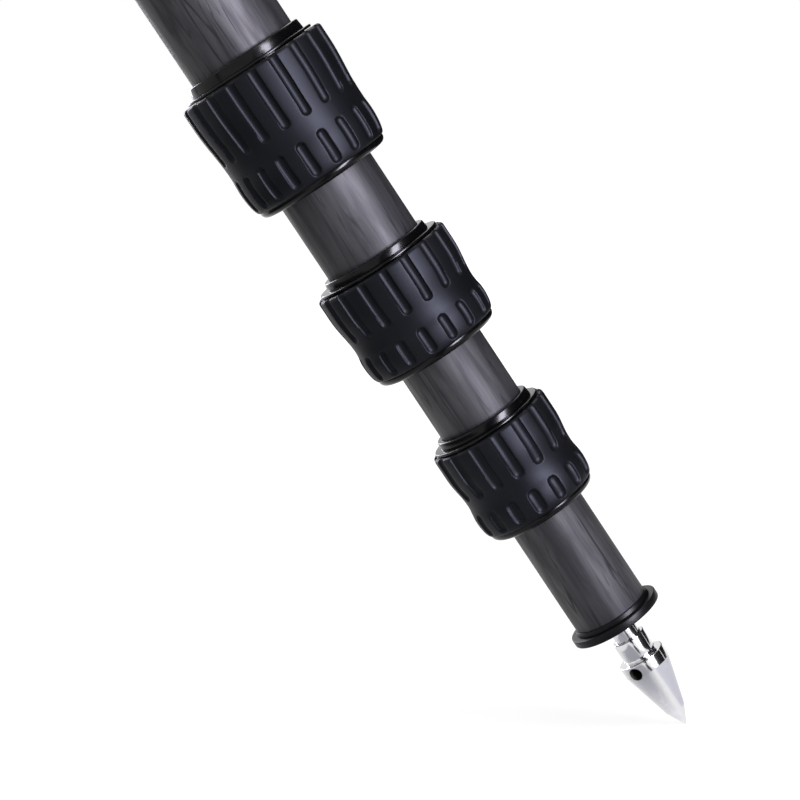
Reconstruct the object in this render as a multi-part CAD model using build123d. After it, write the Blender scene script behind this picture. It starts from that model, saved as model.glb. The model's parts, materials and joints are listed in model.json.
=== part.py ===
from build123d import *
import math
import os

# Camera tripod: a cast head with three carbon legs of four sections, twist locks and steel spikes.
# Millimetres, +Z up. The origin is the foot of the head screw, on the top plate's upper face.
# A leg is made upright with its spike's tip at height 0, then leaned and placed three times.
# Tuples hold one value for each lock, or each tube, from the top of the leg down.

# Carbon tubes
tube_diameters = (40.0, 36.0, 32.0, 28.0)
tube_wall = 1.5
visible_lengths = (29.6, 27.0, 43.6)
travels = (340.0, 370.0, 390.0)
least_overlap = 20.0
bush_length = 30.0
closed_gap = 1.0
tube_end_room = 8.0

# Fits
glue_gap = 0.05
slide_gap = 0.05
bolt_gap = 0.05
turn_gap = 0.3
thread_gap = 0.1

# Twist locks: the sleeve on the upper tube
sleeve_wall = 2.1
sleeve_reach = 20.0
tube_seat = 12.0
lip_radii = (24.9, 23.5, 20.85)
lip_height = 1.0
top_ring_heights = (3.9, 2.9, 2.9)
ring_chamfer = 0.5

# Twist locks: the split collet
collet_collar_height = 3.0
collet_collar_over = 1.5
collet_tip_wall = 1.2
collet_slot = 1.2
collet_gap = 0.2

# Twist locks: the nut
nut_wall = 1.2
nut_floor = 3.5
nut_hole_gap = 0.4
nut_ring_radii = (24.9, 23.2, 20.5)
nut_ring_height = 2.5
nut_ring_round = 2.2

# Twist locks: the rubber grip
grip_lengths = (43.0, 34.3, 33.5)
bulge_radii = (26.95, 24.85, 22.2)
bulge_heights = (9.3, 7.0, 6.8)
waist_radii = (26.6, 24.2, 21.4)
waist_heights = (15.6, 12.6, 12.8)
crown_radii = (27.9, 25.5, 22.6)
crown_heights = (36.4, 26.7, 25.1)
grip_edge_round = 1.3
groove_counts = (20, 18, 16)
groove_widths = (3.6, 3.6, 4.1)
groove_first_angles = (16.2, 17.0, 21.8)
groove_depth = 1.3
low_groove_spans = ((1.2, 13.9), (0.9, 10.6), (1.0, 10.2))
high_groove_spans = ((19.8, 42.3), (16.5, 33.6), (15.5, 32.8))

# Foot plug and spike
flange_radius = 17.15
flange_height = 2.9
flange_chamfer = 0.4
foot_shoulder_radius = 14.45
foot_shoulder_height = 1.7
foot_plug_length = 30.0
stud_radius = 4.7625
stud_reach = 16.0
thread_end_room = 2.0
neck_radius = 4.5
neck_height = 7.1
spike_collar_radius = 6.15
spike_collar_height = 7.3
spike_groove_radius = 5.6
spike_groove_height = 1.0
spike_band_radius = 8.65
spike_band_height = 4.5
spike_cone_height = 25.6
spike_tip_radius = 0.6
spike_tip_height = 7.0
spike_shank_radius = 3.75
cross_hole_radius = 2.4
cross_hole_height = 27.1
cross_hole_angle = -37.0
edge_chamfer = 0.4

# Leg shoulder, around the hinge
lean = 25.0
tongue_radius = 15.0
tongue_width = 34.0
shoulder_radius = 23.0
shoulder_drop = 26.0
shoulder_chamfer = 5.0
shoulder_roof = 6.0
shoulder_seat = 32.0

# Angle stop tab, on the shoulder's outer face
tab_thickness = 5.0
tab_width = 18.0
tab_bed_depth = 2.5
tab_top = 4.6
tab_length = 29.1
tab_lip_height = 3.0
tab_lip_depth = 3.0
tab_travel = 8.0
tab_head_gap = 0.7
tab_screw_radius = 2.5
tab_screw_head_radius = 4.3
tab_screw_head_height = 2.0
tab_screw_reach = 8.0

# Head casting
hinge_circle_radius = 44.0
hinge_drop = 36.0
hub_radius = 60.0
hub_height = 11.0
hub_bore_radius = 32.0
hub_chamfer = 1.5
ear_thickness = 8.0
ear_radius = 14.0
ear_root = 16.0
ear_overlap = 2.0
skirt_radius = 28.5
skirt_wall = 4.5
skirt_height = 27.0
floor_height = 4.0
boss_radius = 8.0
boss_stand = 1.0

# Top plate and head screw
plate_radius = 45.0
plate_height = 6.0
plate_chamfer = 0.8
spigot_height = 8.0
spigot_gap = 0.1
spigot_hollow_radius = 22.0
spigot_floor = 3.0
head_stud_length = 12.0
head_shank_radius = 4.95
head_collar_radius = 10.0
head_collar_height = 3.0
head_collar_gap = 0.2
wheel_radius = 14.0
wheel_height = 14.0
wheel_drop = 48.0
wheel_scallops = 10
wheel_scallop_radius = 3.0
wheel_scallop_depth = 1.2

# Bag hook, hanging in the hand wheel
hook_pocket_radius = 8.0
hook_pocket_depth = 7.0
hook_head_radius = 6.5
hook_head_height = 3.0
hook_wire_radius = 3.0
hook_bend_radius = 11.0
hook_shank_length = 10.0
hook_sweep = 285.0
clip_height = 3.0

# Clamp knob, level and accessory port, each in its own gap between two legs
clamp_angle = 60.0
clamp_stem_radius = 3.0
clamp_knob_radius = 11.0
clamp_knob_height = 14.0
clamp_knob_stand = 2.0
clamp_lobes = 6
clamp_lobe_radius = 4.0
clamp_lobe_depth = 1.8
level_angle = 300.0
level_radius = 5.0
level_height = 5.0
port_angle = 180.0
port_radius = 3.97
port_length = 10.0

# Hinge bolts and washers
hinge_bolt_radius = 5.0
hinge_head_radius = 8.0
hinge_head_height = 4.0
hinge_nut_height = 5.0
hinge_socket_radius = 3.0
hinge_socket_depth = 2.5
washer_radius = 12.0
washer_thickness = 1.0
washer_gap = 0.1

# Worked out from the sizes above
tube_radii = [diameter / 2 for diameter in tube_diameters]
bore_radii = [radius - tube_wall for radius in tube_radii]
spike_band_top = spike_cone_height + spike_band_height
neck_bottom = spike_band_top + spike_groove_height + spike_collar_height
flange_bottom = neck_bottom + neck_height
foot_top = flange_bottom + flange_height + foot_shoulder_height
raised_lip_drop = tab_length - tab_top - tab_lip_height - tab_travel
tab_screw_drop = raised_lip_drop - tab_head_gap - tab_screw_head_radius
ear_inner = tongue_width / 2 + washer_thickness + 2 * washer_gap
ear_outer = ear_inner + ear_thickness
hub_top = -plate_height
hub_bottom = hub_top - hub_height
port_height = hub_top - hub_height / 2
spigot_radius = hub_bore_radius - spigot_gap
spigot_bottom = hub_top - spigot_height
hub_floor_top = spigot_bottom - head_collar_height - 2 * head_collar_gap
wheel_bottom = -wheel_drop - wheel_height
pocket_top = wheel_bottom + hook_pocket_depth
level_circle_radius = (plate_radius + hub_radius) / 2
os.makedirs("parts", exist_ok=True)


class Lock:
    """Heights and radii of one twist lock, in the upright leg."""

    def __init__(self, row, bottom):
        self.row = row
        self.bottom = bottom
        self.upper_radius = tube_radii[row]
        self.lower_radius = tube_radii[row + 1]
        self.ring_top = bottom + nut_ring_height
        self.grip_top = self.ring_top + grip_lengths[row]
        self.lip_bottom = self.grip_top + turn_gap
        self.lip_top = self.lip_bottom + lip_height
        self.top = self.lip_top + top_ring_heights[row]
        self.tube_end = self.lip_bottom - tube_seat
        self.sleeve_bottom = self.lip_bottom - sleeve_reach
        self.sleeve_radius = self.upper_radius + sleeve_wall
        self.thread_radius = self.sleeve_radius + thread_gap
        self.core_radius = self.thread_radius + nut_wall
        self.collar_radius = self.upper_radius + collet_collar_over
        self.collar_top = self.sleeve_bottom - turn_gap
        self.collar_bottom = self.collar_top - collet_collar_height
        self.floor_top = bottom + nut_floor
        self.collet_bottom = self.floor_top + turn_gap
        self.collet_top = self.tube_end - turn_gap
        self.tip_radius = self.lower_radius + collet_tip_wall


def path(*corners, close=False):
    """Straight lines through (radius, height) corners."""
    return Polyline(*[(radius, 0, height) for radius, height in corners], close=close)


def quarter(radius, middle_radius, middle_height, low):
    """A quarter round about (middle_radius, middle_height), on its low or its high outer side."""
    half = radius * math.sin(math.pi / 4)
    side = -1 if low else 1
    return ThreePointArc(
        (middle_radius, 0, middle_height + side * radius),
        (middle_radius + half, 0, middle_height + side * half),
        (middle_radius + radius, 0, middle_height),
    )


def turned(*lines):
    """The solid that a closed outline makes when it is turned about Z."""
    edges = [edge for line in lines for edge in line.edges()]
    return revolve(make_face(edges), Axis.Z)


def rod(radius, low, high):
    """A plain round bar on the Z axis between two heights."""
    return Pos(0, 0, low) * Cylinder(radius, high - low, align=(Align.CENTER, Align.CENTER, Align.MIN))


def ring(outer, inner, low, high):
    """A plain round tube on the Z axis between two heights."""
    return rod(outer, low, high) - rod(inner, low, high)


def outward(angle, height):
    """The place whose Z axis points straight out of the head at this angle and height."""
    return Rot(0, 0, angle) * Pos(0, 0, height) * Rot(0, 90, 0)


def from_front(angle):
    """An angle about a leg, counted from the side that faces -Y and rightward positive."""
    return angle - 90


def scalloped(body, count, radius, depth, rim, low, high):
    """Cuts round finger scallops along the rim of a wheel or knob."""
    cutter = Pos(rim + radius - depth, 0, 0) * rod(radius, low, high)
    return body - [Rot(0, 0, turn * 360 / count) * cutter for turn in range(count)]


def make_tube(row, low, high):
    """Carbon tube of one leg section."""
    return ring(tube_radii[row], bore_radii[row], low, high)


def make_bush(row, high):
    """Thin slide bush around the top of an inner tube."""
    outer = bore_radii[row - 1] - slide_gap
    return ring(outer, tube_radii[row] + glue_gap / 2, high - bush_length, high)


def make_sleeve(lock):
    """Sleeve glued on the upper tube: gloss top ring, thin lip, threaded part inside the nut."""
    bore = lock.upper_radius + glue_gap
    lip = lip_radii[lock.row]
    return turned(
        path(
            (bore, lock.sleeve_bottom),
            (lock.sleeve_radius, lock.sleeve_bottom),
            (lock.sleeve_radius, lock.lip_bottom),
            (lip, lock.lip_bottom),
            (lip, lock.lip_top),
            (lock.sleeve_radius, lock.lip_top),
            (lock.sleeve_radius, lock.top - ring_chamfer),
            (lock.sleeve_radius - ring_chamfer, lock.top),
            (bore, lock.top),
            close=True,
        )
    )


def make_collet(lock):
    """Split plastic collet that the nut's cone squeezes onto the lower tube."""
    bore = lock.lower_radius + slide_gap
    body = turned(
        path(
            (bore, lock.collet_bottom),
            (lock.tip_radius, lock.collet_bottom),
            (lock.collar_radius, lock.collar_bottom),
            (lock.collar_radius, lock.collar_top),
            (lock.upper_radius, lock.collar_top),
            (lock.upper_radius, lock.collet_top),
            (bore, lock.collet_top),
            close=True,
        )
    )
    slot_height = 3 * (lock.collet_top - lock.collet_bottom)
    slot = Pos(lock.upper_radius, 0, lock.collet_bottom) * Box(lock.upper_radius, collet_slot, slot_height)
    return body - slot


def make_nut(lock):
    """Metal nut under the grip: gloss ring below, floor, inner cone and thread bore."""
    ring_radius = nut_ring_radii[lock.row]
    foot_radius = ring_radius - nut_ring_round
    hole = lock.lower_radius + nut_hole_gap
    return turned(
        quarter(nut_ring_round, foot_radius, lock.bottom + nut_ring_round, low=True),
        path(
            (ring_radius, lock.bottom + nut_ring_round),
            (ring_radius, lock.ring_top),
            (lock.core_radius, lock.ring_top),
            (lock.core_radius, lock.grip_top),
            (lock.thread_radius, lock.grip_top),
            (lock.thread_radius, lock.collar_top),
            (lock.collar_radius + collet_gap, lock.collar_top),
            (lock.collar_radius + collet_gap, lock.collar_bottom),
            (lock.tip_radius + collet_gap, lock.floor_top),
            (hole, lock.floor_top),
            (hole, lock.bottom),
            (foot_radius, lock.bottom),
        ),
    )


def grip_radius(row, height):
    """Outer radius of a grip's rubber at a height above its lower edge."""
    if height < bulge_heights[row]:
        rise = 1 - height / bulge_heights[row]
        edge = nut_ring_radii[row]
        return edge + (bulge_radii[row] - edge) * math.sqrt(1 - rise * rise)
    if height < waist_heights[row]:
        low, high = bulge_heights[row], waist_heights[row]
        first, second = bulge_radii[row], waist_radii[row]
    else:
        low, high = waist_heights[row], crown_heights[row]
        first, second = waist_radii[row], crown_radii[row]
    share = min((height - low) / (high - low), 1)
    return first + (second - first) * (1 - math.cos(math.pi * share)) / 2


def groove_cutter(row, base, low, high):
    """A round-ended bar that cuts one groove, from low to high above the rubber's lower edge."""
    half_width = groove_widths[row] / 2
    radius = (half_width**2 + groove_depth**2) / (2 * groove_depth)
    stand = radius - groove_depth
    ends = [
        Vector(grip_radius(row, height) + stand, 0, base + height)
        for height in (low + half_width, high - half_width)
    ]
    run = ends[1] - ends[0]
    bar = turned(
        quarter(radius, 0, 0, low=True),
        path((radius, 0), (radius, run.length)),
        quarter(radius, 0, run.length, low=False),
        path((0, run.length + radius), (0, -radius)),
    )
    return Plane(origin=ends[0], z_dir=run).location * bar


def make_grip(lock):
    """Rubber sleeve with a low bulge, a waist, a high crown and two bands of grooves."""
    row = lock.row
    inner = lock.core_radius + glue_gap
    crown = crown_radii[row]
    middle = (waist_heights[row] + crown_heights[row]) / 2
    heights = [0, 1.5, 4.0, bulge_heights[row], waist_heights[row], middle, crown_heights[row]]
    side = Spline(*[(grip_radius(row, height), 0, lock.ring_top + height) for height in heights])
    round_middle = lock.grip_top - grip_edge_round
    body = turned(
        side,
        path((crown, lock.ring_top + crown_heights[row]), (crown, round_middle)),
        quarter(grip_edge_round, crown - grip_edge_round, round_middle, low=False),
        path(
            (crown - grip_edge_round, lock.grip_top),
            (inner, lock.grip_top),
            (inner, lock.ring_top),
            (nut_ring_radii[row], lock.ring_top),
        ),
    )
    pitch = 360 / groove_counts[row]
    cutters = []
    for low, high in (low_groove_spans[row], high_groove_spans[row]):
        cutter = groove_cutter(row, lock.ring_top, low, high)
        for count in range(groove_counts[row]):
            cutters.append(Rot(0, 0, from_front(groove_first_angles[row] + count * pitch)) * cutter)
    return body - cutters


def make_foot_plug():
    """Plug glued in the lowest tube, with the flange under it and the spike's thread hole."""
    plug_radius = bore_radii[3] - glue_gap
    plug_top = foot_top + foot_plug_length
    flange_top = flange_bottom + flange_height
    body = turned(
        path(
            (0, flange_bottom),
            (flange_radius - flange_chamfer, flange_bottom),
            (flange_radius, flange_bottom + flange_chamfer),
            (flange_radius, flange_top),
            (foot_shoulder_radius, flange_top),
            (foot_shoulder_radius, foot_top),
            (plug_radius, foot_top),
            (plug_radius, plug_top - edge_chamfer),
            (plug_radius - edge_chamfer, plug_top),
            (0, plug_top),
            close=True,
        )
    )
    hole_top = flange_bottom + stud_reach + thread_end_room
    return body - rod(stud_radius + bolt_gap, flange_bottom, hole_top)


def make_spike():
    """Steel spike: stud, neck, collar, narrow groove, band with a cross hole, long cone and tip."""
    groove_top = spike_band_top + spike_groove_height
    stud_top = flange_bottom + stud_reach
    body = turned(
        path(
            (0, 0),
            (spike_tip_radius, spike_tip_radius),
            (spike_shank_radius, spike_tip_height),
            (spike_band_radius, spike_cone_height),
            (spike_band_radius, spike_band_top - edge_chamfer),
            (spike_band_radius - edge_chamfer, spike_band_top),
            (spike_groove_radius, spike_band_top),
            (spike_groove_radius, groove_top),
            (spike_collar_radius, groove_top),
            (spike_collar_radius, neck_bottom - edge_chamfer),
            (spike_collar_radius - edge_chamfer, neck_bottom),
            (neck_radius, neck_bottom),
            (neck_radius, flange_bottom),
            (stud_radius, flange_bottom),
            (stud_radius, stud_top - edge_chamfer),
            (stud_radius - edge_chamfer, stud_top),
            (0, stud_top),
            close=True,
        )
    )
    hole = Rot(0, 0, from_front(cross_hole_angle)) * Pos(0, 0, cross_hole_height) * Rot(0, 90, 0)
    return body - hole * Cylinder(cross_hole_radius, 4 * spike_band_radius)


def make_shoulder(pivot):
    """Casting at the top of a leg: hinge tongue, tab bed and the cup that holds the top tube."""
    cup_top = pivot - shoulder_drop
    roof = cup_top - shoulder_roof
    cup_bottom = roof - shoulder_seat
    tongue = Pos(0, 0, pivot) * Rot(90, 0, 0) * Cylinder(tongue_radius, tongue_width)
    block_height = shoulder_drop + shoulder_chamfer
    block = Pos(0, 0, pivot - block_height / 2) * Box(2 * tongue_radius, tongue_width, block_height)
    bore = tube_radii[0] + glue_gap
    cup = turned(
        path(
            (0, cup_top),
            (shoulder_radius - shoulder_chamfer, cup_top),
            (shoulder_radius, cup_top - shoulder_chamfer),
            (shoulder_radius, cup_bottom + edge_chamfer),
            (shoulder_radius - edge_chamfer, cup_bottom),
            (bore, cup_bottom),
            (bore, roof),
            (0, roof),
            close=True,
        )
    )
    bolt_hole = Pos(0, 0, pivot) * Rot(90, 0, 0) * Cylinder(hinge_bolt_radius + bolt_gap, 2 * tongue_width)
    bed_low = pivot + tab_top - tab_length - tab_lip_height
    bed_high = pivot + 2 * tongue_radius
    bed = Pos(2 * tongue_radius - tab_bed_depth, 0, (bed_low + bed_high) / 2) * Box(
        2 * tongue_radius, tab_width + 2 * turn_gap, bed_high - bed_low
    )
    screw_place = Pos(tongue_radius, 0, pivot - tab_screw_drop) * Rot(0, 90, 0)
    screw_hole = screw_place * Cylinder(tab_screw_radius + glue_gap, 2 * tab_screw_reach)
    return tongue + block + cup - bolt_hole - bed - screw_hole


def make_tab_screw(pivot):
    """Shoulder screw that holds the tab on its bed and guides it along the slot."""
    head_low = tab_thickness - tab_bed_depth + thread_gap
    shank = rod(tab_screw_radius, -tab_screw_reach, head_low)
    head = rod(tab_screw_head_radius, head_low, head_low + tab_screw_head_height)
    return Pos(tongue_radius, 0, pivot - tab_screw_drop) * Rot(0, 90, 0) * (shank + head)


def make_tab(pivot):
    """Angle stop tab, drawn down: a plate with a finger lip and a slot for its screw."""
    face = tongue_radius - tab_bed_depth + thread_gap
    depth = tab_thickness - thread_gap
    low = pivot + tab_top - tab_length
    plate = Pos(face + depth / 2, 0, low + tab_length / 2) * Box(depth, tab_width, tab_length)
    lip_place = Pos(face + depth + tab_lip_depth / 2, 0, low + tab_lip_height / 2)
    lip = lip_place * Box(tab_lip_depth, tab_width, tab_lip_height)
    half_slot = tab_screw_radius + thread_gap
    screw_height = pivot - tab_screw_drop
    slot = Pos(face, 0, screw_height - tab_travel / 2) * Box(4 * depth, 2 * half_slot, tab_travel)
    for end in (screw_height, screw_height - tab_travel):
        slot += Pos(face, 0, end) * Rot(0, 90, 0) * Cylinder(half_slot, 4 * depth)
    return plate + lip - slot


def make_hinge_bolt():
    """Hinge bolt along Y at the pivot, with its socket head on -Y."""
    head_low = -ear_outer - hinge_head_height
    bolt = rod(hinge_bolt_radius, -ear_outer, ear_outer + hinge_nut_height)
    bolt += rod(hinge_head_radius, head_low, -ear_outer)
    socket = Pos(0, 0, head_low) * extrude(RegularPolygon(hinge_socket_radius, 6), hinge_socket_depth)
    return Rot(-90, 0, 0) * (bolt - socket)


def make_hinge_nut():
    """Hexagon nut on the +Y end of the hinge bolt."""
    nut = Pos(0, 0, ear_outer) * extrude(RegularPolygon(hinge_head_radius, 6), hinge_nut_height)
    nut -= rod(hinge_bolt_radius + glue_gap, ear_outer, ear_outer + hinge_nut_height)
    return Rot(-90, 0, 0) * nut


def make_washers():
    """Two thrust washers, one on each side of the tongue."""
    near = tongue_width / 2 + washer_gap
    washer = ring(washer_radius, hinge_bolt_radius + bolt_gap, near, near + washer_thickness)
    return [Rot(-90, 0, 0) * washer, Rot(90, 0, 0) * washer]


def make_ear():
    """One hinge ear of leg A's pair, in the middle plane of its leg."""
    reach = hinge_circle_radius - ear_root
    height = hinge_drop + hub_bottom + ear_overlap
    ear = Pos(hinge_circle_radius, 0, -hinge_drop) * Rot(90, 0, 0) * Cylinder(ear_radius, ear_thickness)
    upper_place = Pos(hinge_circle_radius + (ear_radius - reach) / 2, 0, -hinge_drop + height / 2)
    lower_place = Pos(hinge_circle_radius - reach / 2, 0, -hinge_drop - ear_radius / 2)
    ear += upper_place * Box(reach + ear_radius, ear_thickness, height)
    ear += lower_place * Box(reach, ear_thickness, ear_radius)
    return ear


def make_apex():
    """Head casting: hub ring, floor, skirt, three pairs of ears and two side bosses."""
    skirt_bottom = hub_bottom - skirt_height
    skirt_bore = skirt_radius - skirt_wall
    shank_bore = head_shank_radius + bolt_gap
    body = turned(
        path(
            (shank_bore, hub_floor_top),
            (hub_bore_radius, hub_floor_top),
            (hub_bore_radius, hub_top),
            (hub_radius - hub_chamfer, hub_top),
            (hub_radius, hub_top - hub_chamfer),
            (hub_radius, hub_bottom + hub_chamfer),
            (hub_radius - hub_chamfer, hub_bottom),
            (hub_bore_radius + spigot_floor, hub_bottom),
            (hub_bore_radius + spigot_floor, hub_floor_top - floor_height),
            (skirt_radius, hub_floor_top - floor_height),
            (skirt_radius, skirt_bottom),
            (skirt_bore, skirt_bottom),
            (skirt_bore, hub_floor_top - floor_height),
            (shank_bore, hub_floor_top - floor_height),
            close=True,
        )
    )
    ear = make_ear()
    ear_place = ear_inner + ear_thickness / 2
    bolt_hole = Pos(hinge_circle_radius, 0, -hinge_drop) * Rot(90, 0, 0)
    bolt_holes = bolt_hole * Cylinder(hinge_bolt_radius + bolt_gap, 4 * ear_place)
    boss = rod(boss_radius, hub_radius - 2 * boss_radius, hub_radius + boss_stand)
    boss_end = hub_radius + 2 * boss_stand
    boss_limit = rod(boss_end, hub_bottom, hub_top)
    for count in range(3):
        body += [Rot(0, 0, 120 * count) * Pos(0, side * ear_place, 0) * ear for side in (-1, 1)]
    body += [(outward(angle, port_height) * boss) & boss_limit for angle in (clamp_angle, port_angle)]
    body -= [Rot(0, 0, 120 * count) * bolt_holes for count in range(3)]
    stem_hole = rod(clamp_stem_radius + bolt_gap, hub_bore_radius - floor_height, boss_end)
    port_bottom = hub_radius + boss_stand - port_length
    body -= outward(clamp_angle, port_height) * stem_hole
    body -= outward(port_angle, port_height) * rod(port_radius, port_bottom, boss_end)
    level_place = Rot(0, 0, level_angle) * Pos(level_circle_radius, 0, 0)
    return body - level_place * rod(level_radius + glue_gap, hub_top - level_height, hub_top)


def make_top_plate():
    """Round top plate with a hollow spigot that the clamp screw holds."""
    shank_bore = head_shank_radius + bolt_gap
    rim = spigot_radius - spigot_floor
    return turned(
        path(
            (shank_bore, spigot_bottom),
            (spigot_hollow_radius, spigot_bottom),
            (spigot_hollow_radius, hub_top - spigot_floor),
            (rim, hub_top - spigot_floor),
            (rim, spigot_bottom),
            (spigot_radius, spigot_bottom),
            (spigot_radius, hub_top),
            (plate_radius - plate_chamfer, hub_top),
            (plate_radius, hub_top + plate_chamfer),
            (plate_radius, -plate_chamfer),
            (plate_radius - plate_chamfer, 0),
            (shank_bore, 0),
            close=True,
        )
    )


def make_head_screw():
    """Head screw: stud above the plate, shank through it, captive collar and long shank below."""
    collar_top = spigot_bottom - head_collar_gap
    collar_bottom = collar_top - head_collar_height
    return turned(
        path(
            (0, pocket_top + glue_gap),
            (head_shank_radius, pocket_top + glue_gap),
            (head_shank_radius, collar_bottom),
            (head_collar_radius, collar_bottom),
            (head_collar_radius, collar_top),
            (head_shank_radius, collar_top),
            (head_shank_radius, 0),
            (stud_radius, 0),
            (stud_radius, head_stud_length - plate_chamfer),
            (stud_radius - plate_chamfer, head_stud_length),
            (0, head_stud_length),
            close=True,
        )
    )


def make_hand_wheel():
    """Hand wheel pinned on the head screw, with the hook's pocket in its underside."""
    bore = head_shank_radius + glue_gap
    body = turned(
        path(
            (hook_pocket_radius, wheel_bottom),
            (wheel_radius - edge_chamfer, wheel_bottom),
            (wheel_radius, wheel_bottom + edge_chamfer),
            (wheel_radius, -wheel_drop - edge_chamfer),
            (wheel_radius - edge_chamfer, -wheel_drop),
            (bore, -wheel_drop),
            (bore, pocket_top),
            (hook_pocket_radius, pocket_top),
            close=True,
        )
    )
    scallop = (wheel_scallops, wheel_scallop_radius, wheel_scallop_depth)
    return scalloped(body, *scallop, wheel_radius, wheel_bottom, -wheel_drop)


def make_hook():
    """Bag hook: head in the wheel's pocket, shank and an open round bend."""
    head_bottom = wheel_bottom + clip_height + turn_gap
    bend_top = wheel_bottom - hook_shank_length
    hook = rod(hook_head_radius, head_bottom, head_bottom + hook_head_height)
    hook += rod(hook_wire_radius, bend_top, head_bottom)
    bend_plane = Plane(origin=(0, 0, bend_top - hook_bend_radius), x_dir=(1, 0, 0), z_dir=(0, -1, 0))
    bend = bend_plane * CenterArc((0, 0), hook_bend_radius, 90, hook_sweep)
    hook += sweep(Plane(origin=bend @ 0, z_dir=bend % 0) * Circle(hook_wire_radius), path=bend)
    for end in (bend @ 0, bend @ 1):
        hook += Pos(end.X, end.Y, end.Z) * Sphere(hook_wire_radius)
    return hook


def make_hook_clip():
    """Threaded ring that closes the pocket around the hook's shank."""
    bore = hook_wire_radius + bolt_gap
    return ring(hook_pocket_radius - glue_gap, bore, wheel_bottom, wheel_bottom + clip_height)


def make_clamp_knob():
    """Clamp screw with its lobed knob, pointing straight out of the hub."""
    low = hub_radius + boss_stand + clamp_knob_stand
    high = low + clamp_knob_height
    knob = turned(
        path(
            (0, low),
            (clamp_knob_radius - edge_chamfer, low),
            (clamp_knob_radius, low + edge_chamfer),
            (clamp_knob_radius, high - hub_chamfer),
            (clamp_knob_radius - hub_chamfer, high),
            (0, high),
            close=True,
        )
    )
    lobes = (clamp_lobes, clamp_lobe_radius, clamp_lobe_depth)
    knob = scalloped(knob, *lobes, clamp_knob_radius, low, high)
    knob += rod(clamp_stem_radius, hub_bore_radius + turn_gap, low)
    return outward(clamp_angle, port_height) * knob


def make_level():
    """Sealed bubble level, let into the hub's top."""
    place = Rot(0, 0, level_angle) * Pos(level_circle_radius, 0, 0)
    return place * rod(level_radius, hub_top - level_height, hub_top)


def save(node, *solids):
    """Writes one node, which may hold several separate solids."""
    shape = solids[0] if len(solids) == 1 else Compound(children=list(solids))
    shape.label = node
    export_step(shape, f"parts/{node}.step")


# Heights of the upright leg, from the spike's tip
locks = [None, None, None]
section_bottom = foot_top
for row in (2, 1, 0):
    locks[row] = Lock(row, section_bottom + visible_lengths[row])
    section_bottom = locks[row].top
tube_tops = []
for lock, travel in zip(locks, travels):
    tube_tops.append(lock.tube_end + least_overlap + bush_length + travel)
closings = [length - closed_gap for length in visible_lengths]
closed_tops = [top + sum(closings[: row + 1]) for row, top in enumerate(tube_tops)]
first_tube_top = max(closed_tops) + tube_end_room
pivot_height = first_tube_top + turn_gap + shoulder_roof + shoulder_drop

# Leg pieces, made once
leg_pieces = {
    "shoulder": [make_shoulder(pivot_height), make_tab_screw(pivot_height)],
    "angle_tab": [make_tab(pivot_height)],
    "tube_1": [make_tube(0, locks[0].tube_end, first_tube_top)],
    "tube_2": [make_tube(1, locks[1].tube_end, tube_tops[0]), make_bush(1, tube_tops[0])],
    "tube_3": [make_tube(2, locks[2].tube_end, tube_tops[1]), make_bush(2, tube_tops[1])],
    "tube_4": [make_tube(3, foot_top, tube_tops[2]), make_bush(3, tube_tops[2])],
    "foot_plug": [make_foot_plug()],
    "spike": [make_spike()],
}
for number, lock in enumerate(locks, start=1):
    leg_pieces[f"lock_{number}_sleeve"] = [make_sleeve(lock), make_collet(lock)]
    leg_pieces[f"lock_{number}_nut"] = [make_nut(lock)]
    leg_pieces[f"lock_{number}_grip"] = [make_grip(lock)]

# Three legs about the head
for count, letter in enumerate("abc"):
    hinge_place = Rot(0, 0, 120 * count) * Pos(hinge_circle_radius, 0, -hinge_drop)
    leg_place = hinge_place * Rot(0, -lean, 0) * Pos(0, 0, -pivot_height)
    for name, solids in leg_pieces.items():
        save(f"leg_{letter}_{name}", *[leg_place * solid for solid in solids])

# Head
save("apex_casting", make_apex())
save("top_plate", make_top_plate())
save("head_screw", make_head_screw(), make_hand_wheel())
save("bag_hook", make_hook())
save("hook_clip", make_hook_clip())
save("clamp_knob", make_clamp_knob())
save("level_vial", make_level())
bolts = []
washers = []
for count in range(3):
    hinge_place = Rot(0, 0, 120 * count) * Pos(hinge_circle_radius, 0, -hinge_drop)
    bolts += [hinge_place * make_hinge_bolt(), hinge_place * make_hinge_nut()]
    washers += [hinge_place * washer for washer in make_washers()]
save("hinge_bolts", *bolts)
save("hinge_washers", *washers)

tip_height = -hinge_drop - pivot_height * math.cos(math.radians(lean))
print("leg from pivot to tip", round(pivot_height, 3), "tip height", round(tip_height, 3))
print("closing travels", [round(closing, 3) for closing in closings])
print("lock bottoms", [round(lock.bottom, 3) for lock in locks])
print("tube tops", [round(top, 2) for top in tube_tops], "first tube top", round(first_tube_top, 2))
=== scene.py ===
import json
import logging
import math
from dataclasses import dataclass, field
from enum import Enum
from typing import Callable, Sequence

import bpy
from mathutils import Matrix, Quaternion, Vector


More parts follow.
